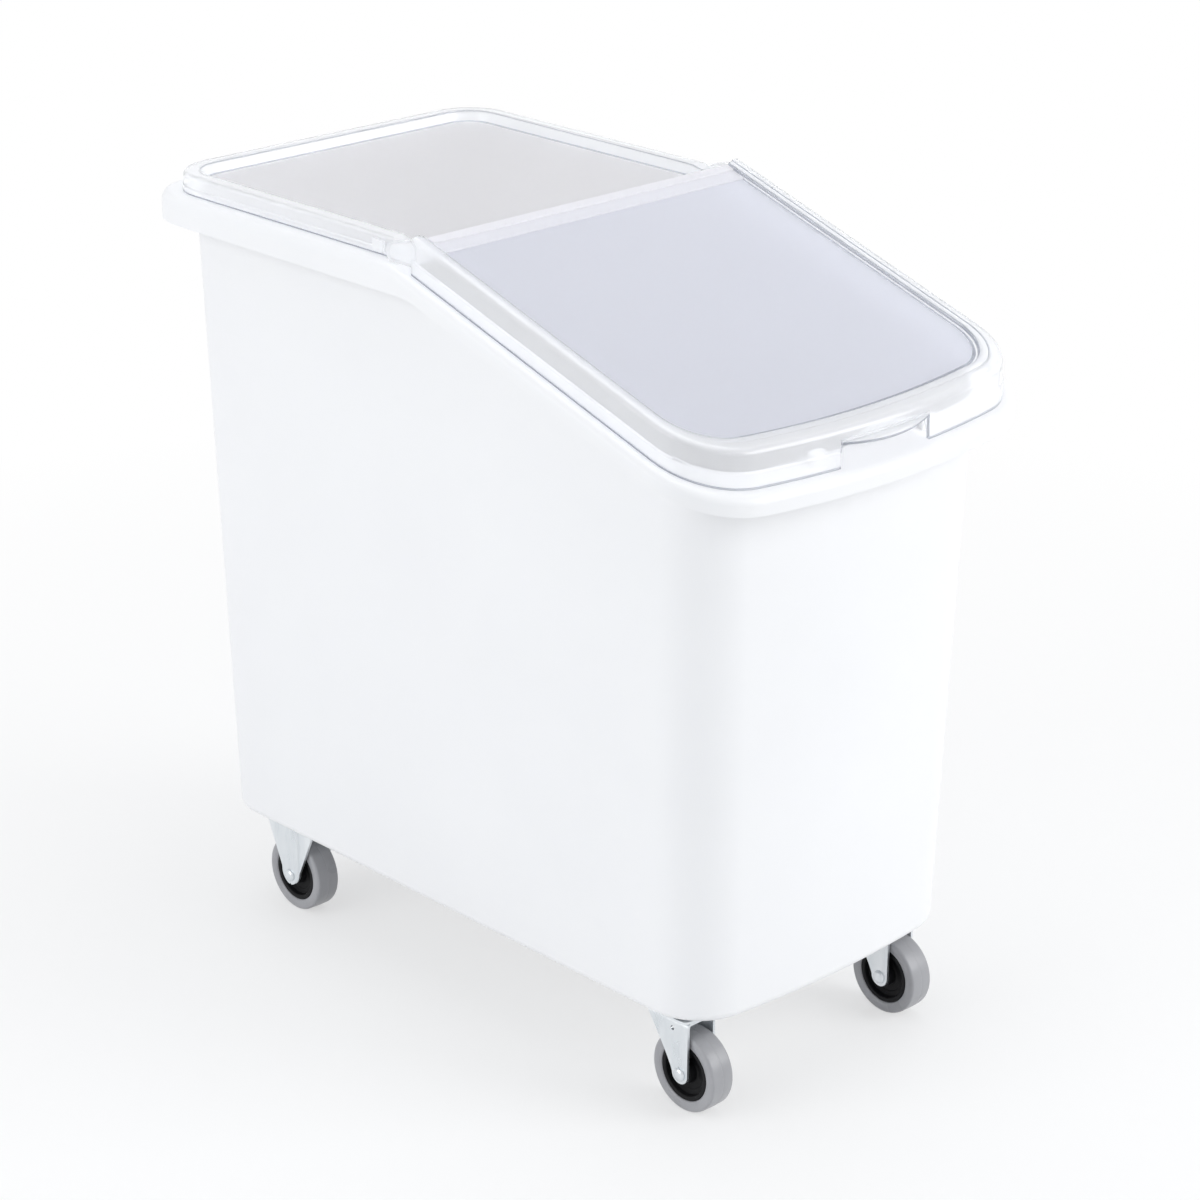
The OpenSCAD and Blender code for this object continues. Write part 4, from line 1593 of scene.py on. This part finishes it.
    def pierce(self, fork: bpy.types.Object, centre: Vector, half: float) -> None:
        """Cuts the round peep hole across a fork.

        Args:
            fork: The fork, which is left as plain mesh.
            centre: Middle of the hole.
            half: Half of the fork's width.
        """
        reach = 2 * half
        profile = [(0.0, -reach), (self.peep_radius, -reach), (self.peep_radius, reach), (0.0, reach)]
        cutter = lathe("peep_cutter", profile, centre, ACROSS, self.peep_facets)
        cut = fork.modifiers.new("peep", "BOOLEAN")
        cut.operation = "DIFFERENCE"
        cut.object = cutter
        cut.solver = "EXACT"
        settle(fork)
        bpy.data.objects.remove(cutter)

    def rigid_leg(self, side: int) -> bpy.types.Object:
        """One leg of a rigid fork, with a pressed rib down its middle.

        Args:
            side: -1 for the left and 1 for the right.

        Returns:
            The leg.
        """
        sheet = self.leg_inner + self.steel / 2
        middle, top = self.axle.y, self.top.z - self.steel
        rows = []
        for z in self.leg_levels(top):
            a, b = self.leg_span(z, top, middle - self.leg_reach, middle + self.leg_reach)
            foot = min(self.rib_half, self.rib_share * (b - a) / 2)
            crest = max(foot - self.rib_step, self.crest_share * foot)
            front = [(y, 0.0) for y in spread(a, middle - foot, self.flank_steps)]
            rib = [(y, self.rib_rise) for y in spread(middle - crest, middle + crest, self.rib_steps)]
            rear = [(2 * middle - y, rise) for y, rise in reversed(front)]
            rows.append([(self.top.x + side * (sheet + rise), y, z) for y, rise in front + rib + rear])
        build = bmesh.new()
        loft(build, rows, closed=False)
        leg = solid_piece("rigid_leg", build)
        thicken(leg, self.steel, 0.0)
        return soften(leg, self.steel_round)

    def plate(self) -> bpy.types.Object:
        """The top plate with round corners."""
        low, high = node_box(self.corner.node("plate" if self.corner.swivels else "fork"))
        corners = [(low.x, low.y), (high.x, low.y), (high.x, high.y), (low.x, high.y)]
        outline = rounded(corners, self.plate_corner, self.plate_steps, closed=True)
        build = bmesh.new()
        heights = (self.top.z - self.steel, self.top.z)
        for row in loft(build, [[(x, y, z) for x, y in outline] for z in heights], closed=True):
            build.faces.new(row)
        return soften(solid_piece("plate", build), self.plate_round)

    def race_cup(self) -> bpy.types.Object:
        """The pressed cup round the swivel's balls."""
        inner, outer = self.ball_circle + self.ball_radius + self.cup_play, self.cup_outer
        low, high = self.steel - 2 * half_size(self.corner.node("plate")).z, self.cup_sink
        corners = [(inner, low), (outer, low), (outer, high), (inner, high)]
        ring = rounded(corners, self.cup_round, steps=3, closed=True)
        return lathe("race_cup", ring, self.top - self.steel * UPWARD, UPWARD, self.cup_facets)

    def rivet(self) -> bpy.types.Object:
        """The axle with its two domed heads."""
        half = half_size(self.corner.node("axle")).x
        head = button_head(self.rivet_dome, self.rivet_depth, self.rivet_radius)
        side = [(r, half - drop) for r, drop in head]
        return lathe(self.corner.node("rivet"), side + mirror(side), self.axle, ACROSS, self.rivet_facets)

    def at_bolts(self, unit: bpy.types.Object, finish: Finish) -> bpy.types.Object:
        """Repeats a unit, modelled about the origin, at the caster's four bolts."""
        return repeat(unit, Pattern.RECTANGLE, self.top, self.bolt_pitch, 4, finish)

    def bolts(self) -> bpy.types.Object:
        """Four button-headed bolts, up through the plate and the tub's floor."""
        low, high = (corner.z - self.top.z for corner in node_box(self.corner.node("bolts")))
        head = button_head(self.bolt_dome, self.bolt_depth, self.bolt_radius)
        profile = [(r, low + rise) for r, rise in head] + [(self.bolt_radius, high), (0.0, high)]
        unit = lathe(self.corner.node("bolt_set"), profile, ORIGIN, UPWARD, self.bolt_facets)
        return self.at_bolts(unit, ZINC)

    def nuts(self) -> bpy.types.Object:
        """Four domed nuts on the raised seats inside the tub."""
        r, base = self.bolt_radius, self.floor + self.seat_height
        across, dome = self.nut_ratio * r, self.dome_ratio * r
        profile = [(share * across, height * r) for share, height in self.nut_profile]
        start = profile[-1][1]
        profile += [(dome * c, start + dome * s) for c, s in arc(0, self.dome_turn, self.dome_steps)]
        hexagon = arc(0, 360, 6)[:-1]
        build = bmesh.new()
        verts = loft(build, [[(k * c, k * s, base + h) for c, s in hexagon] for k, h in profile], closed=True)
        build.faces.new(verts[0])
        build.faces.new(verts[-1])
        unit = solid_piece(self.corner.node("nut_set"), build)
        return self.at_bolts(soften(unit, self.nut_round), ZINC)

    def seats(self) -> bpy.types.Object:
        """Four raised seats moulded on the tub's floor, under the nuts."""
        radius = (self.nut_ratio + 1) * self.bolt_radius
        low, high = self.floor - self.seat_sink, self.floor + self.seat_height
        corners = [(0.0, low), (radius + self.seat_flare, low), (radius, high), (0.0, high)]
        profile = rounded(corners, self.seat_round, steps=3)
        unit = lathe(self.corner.node("nut_seats"), profile, ORIGIN, UPWARD, self.seat_facets)
        return self.at_bolts(unit, POLYETHYLENE)

    def ball_ring(self) -> bpy.types.Object:
        """The ring of balls in the swivel's race."""
        profile = [(self.ball_radius * c, self.ball_radius * s) for c, s in arc(-90, 90, self.ball_steps)]
        unit = lathe(self.corner.node("ball_ring"), profile, ORIGIN, UPWARD, self.ball_facets)
        centre = Vector((self.top.x, self.top.y, middle_of(self.corner.node("balls")).z))
        return repeat(unit, Pattern.RING, centre, (self.ball_circle, 0.0), self.balls, ZINC)

    def kingpin(self) -> bpy.types.Object:
        """The kingpin, headed under the crown."""
        low, high = node_box(self.corner.node("kingpin"))
        height = high.z - low.z
        profile = button_head(self.pin_dome, self.pin_depth, self.pin_radius)
        profile += [(self.pin_radius, height), (0.0, height)]
        foot = Vector((self.top.x, self.top.y, low.z))
        return lathe(self.corner.node("kingpin_rivet"), profile, foot, UPWARD, self.rivet_facets)

    def build(self, nodes: dict[str, bpy.types.Object]) -> None:
        """Builds and dresses the caster and its wheel.

        Args:
            nodes: The CAD nodes' objects.
        """
        corner = self.corner
        if corner.swivels:
            made = {"fork": self.swivel_fork(),
                    "plate": joined(corner.node("swivel_plate"), [self.plate(), self.race_cup()]),
                    "balls": self.ball_ring(), "kingpin": self.kingpin()}
        else:
            legs = [self.rigid_leg(side) for side in SIDES]
            made = {"fork": joined(corner.node("rigid_fork"), [self.plate(), *legs])}
        made.update({"axle": self.rivet(), "bolts": self.bolts(), "nuts": self.nuts()})
        for label, piece in made.items():
            dress(piece, ZINC, self.fork_body if label in ("fork", "axle") else "base")
            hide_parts(corner.node(label))
        dress(self.seats(), POLYETHYLENE, "base")
        Wheel(corner).build(nodes)


# Studio


def seen_rays(tree: bpy.types.NodeTree) -> bpy.types.NodeSocket:
    """One for the rays that show the background itself, in glass and metal too.

    Args:
        tree: The floor's or the world's nodes.

    Returns:
        The socket that holds the one or nought.
    """
    path = add_node(tree, "ShaderNodeLightPath").outputs
    both = add_node(tree, "ShaderNodeMath", {0: path["Is Camera Ray"], 1: path["Is Glossy Ray"]},
                    operation="ADD")
    total = add_node(tree, "ShaderNodeMath", {0: both.outputs[0], 1: path["Is Transmission Ray"]},
                     operation="ADD", use_clamp=True)
    return total.outputs[0]


@dataclass(frozen=True)
class Lamp:
    """One soft area lamp: its place, the side of its square face and its power in watts."""

    name: str
    place: Point3
    size: float
    power: float

    def hang(self, aim: Point3) -> None:
        """Hangs the lamp and points it."""
        data = bpy.data.lights.new(self.name, "AREA")
        data.size = self.size
        data.energy = self.power
        lamp = bpy.data.objects.new(self.name, data)
        bpy.context.scene.collection.objects.link(lamp)
        lamp.location = self.place
        lamp.rotation_euler = (Vector(aim) - Vector(self.place)).to_track_quat("-Z", "Y").to_euler()


@dataclass
class Studio:
    """The pale floor, the soft light and the camera at the photograph's viewing angle."""

    eye: Point3 = (-1.9741, -2.0701, 1.5012)
    azimuth: float = -43.98
    elevation: float = 21.75
    roll: float = 0.28
    lens: float = 100.76
    sensor: float = 36.0
    floor_reach: float = 14.0
    floor_facets: int = 64
    floor_white: Point3 = (0.88, 0.88, 0.88)
    floor_roughness: float = 0.9
    floor_specular: float = 0.1
    floor_glow: float = 0.55
    fade_start: float = 0.45
    fade_end: float = 1.6
    room_tint: Point3 = (0.93, 0.96, 1.0)
    room_strength: float = 0.66
    seen_strength: float = 1.0
    aim: Point3 = (0.0, 0.0, 0.45)
    lamps: tuple[Lamp, ...] = (Lamp("front_key", (1.9, -3.1, 1.9), 2.2, 64.0),
                               Lamp("left_fill", (-3.2, 0.7, 1.5), 2.4, 36.0),
                               Lamp("top_soft", (0.3, 0.4, 3.4), 2.6, 26.0))

    def camera(self) -> None:
        """Places the camera and makes it the scene's."""
        a, e, r = (math.radians(v) for v in (self.azimuth, self.elevation, self.roll))
        back = Vector((math.sin(a) * math.cos(e), -math.cos(a) * math.cos(e), math.sin(e)))
        right = Vector((math.cos(a), math.sin(a), 0.0))
        up = back.cross(right)
        tilted = right * math.cos(r) + up * math.sin(r)
        upright = up * math.cos(r) - right * math.sin(r)
        data = bpy.data.cameras.new("photo_camera")
        data.sensor_fit = "HORIZONTAL"
        data.sensor_width = self.sensor
        data.lens = self.lens
        camera = bpy.data.objects.new("photo_camera", data)
        bpy.context.scene.collection.objects.link(camera)
        turn = Matrix((tilted, upright, back)).transposed().to_4x4()
        camera.matrix_world = Matrix.Translation(self.eye) @ turn
        bpy.context.scene.camera = camera

    def floor(self) -> None:
        """A wide pale floor that keeps the shadow near the bin and fades to white."""
        build = bmesh.new()
        bmesh.ops.create_circle(build, cap_ends=True, segments=self.floor_facets, radius=self.floor_reach)
        floor = solid_piece("studio_floor", build)
        material, tree = empty_material("studio_white")
        matte = add_node(tree, "ShaderNodeBsdfPrincipled", {
            "Base Color": (*self.floor_white, 1.0), "Roughness": self.floor_roughness,
            "Specular IOR Level": self.floor_specular})
        glow = add_node(tree, "ShaderNodeEmission")
        place = add_node(tree, "ShaderNodeTexCoord")
        length = add_node(tree, "ShaderNodeVectorMath", {0: place.outputs["Object"]}, operation="LENGTH")
        fade = add_node(tree, "ShaderNodeMapRange", {
            "Value": length.outputs["Value"], "From Min": self.fade_start, "From Max": self.fade_end,
            "To Min": self.floor_glow})
        share = add_node(tree, "ShaderNodeMath", {0: fade.outputs["Result"], 1: seen_rays(tree)},
                         operation="MULTIPLY")
        mix = add_node(tree, "ShaderNodeMixShader", {
            "Fac": share.outputs[0], 1: matte.outputs["BSDF"], 2: glow.outputs["Emission"]})
        add_node(tree, "ShaderNodeOutputMaterial", {"Surface": mix.outputs["Shader"]})
        floor.data.materials.append(material)

    def world(self) -> None:
        """A white room that lights the bin softly from all round."""
        world = bpy.data.worlds.new("studio_world")
        bpy.context.scene.world = world
        world.use_nodes = True
        tree = world.node_tree
        tree.nodes.clear()
        room = add_node(tree, "ShaderNodeBackground", {
            "Color": (*self.room_tint, 1.0), "Strength": self.room_strength})
        seen = add_node(tree, "ShaderNodeBackground", {"Strength": self.seen_strength})
        mix = add_node(tree, "ShaderNodeMixShader", {
            "Fac": seen_rays(tree), 1: room.outputs[0], 2: seen.outputs[0]})
        add_node(tree, "ShaderNodeOutputWorld", {"Surface": mix.outputs[0]})

    def build(self) -> None:
        """Sets up the whole studio."""
        bpy.context.scene.view_settings.view_transform = "Standard"
        self.camera()
        self.floor()
        self.world()
        for lamp in self.lamps:
            lamp.hang(self.aim)


def main() -> None:
    """Builds the bin piece by piece around the frame."""
    logging.basicConfig(level=logging.INFO, format="%(name)s: %(message)s")
    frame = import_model()
    form = BinForm()
    hinge = next(joint for joint in frame["joints"] if joint["name"] == "front_lid_hinge")
    axis = Vector(hinge["pos_m"])
    Studio().build()
    Tub(form).build()
    RearCover(form).build(axis)
    FrontLid(form).build(axis)
    for corner in Corner:
        Caster(corner).build(frame["nodes"])


if __name__ == "__main__":
    main()
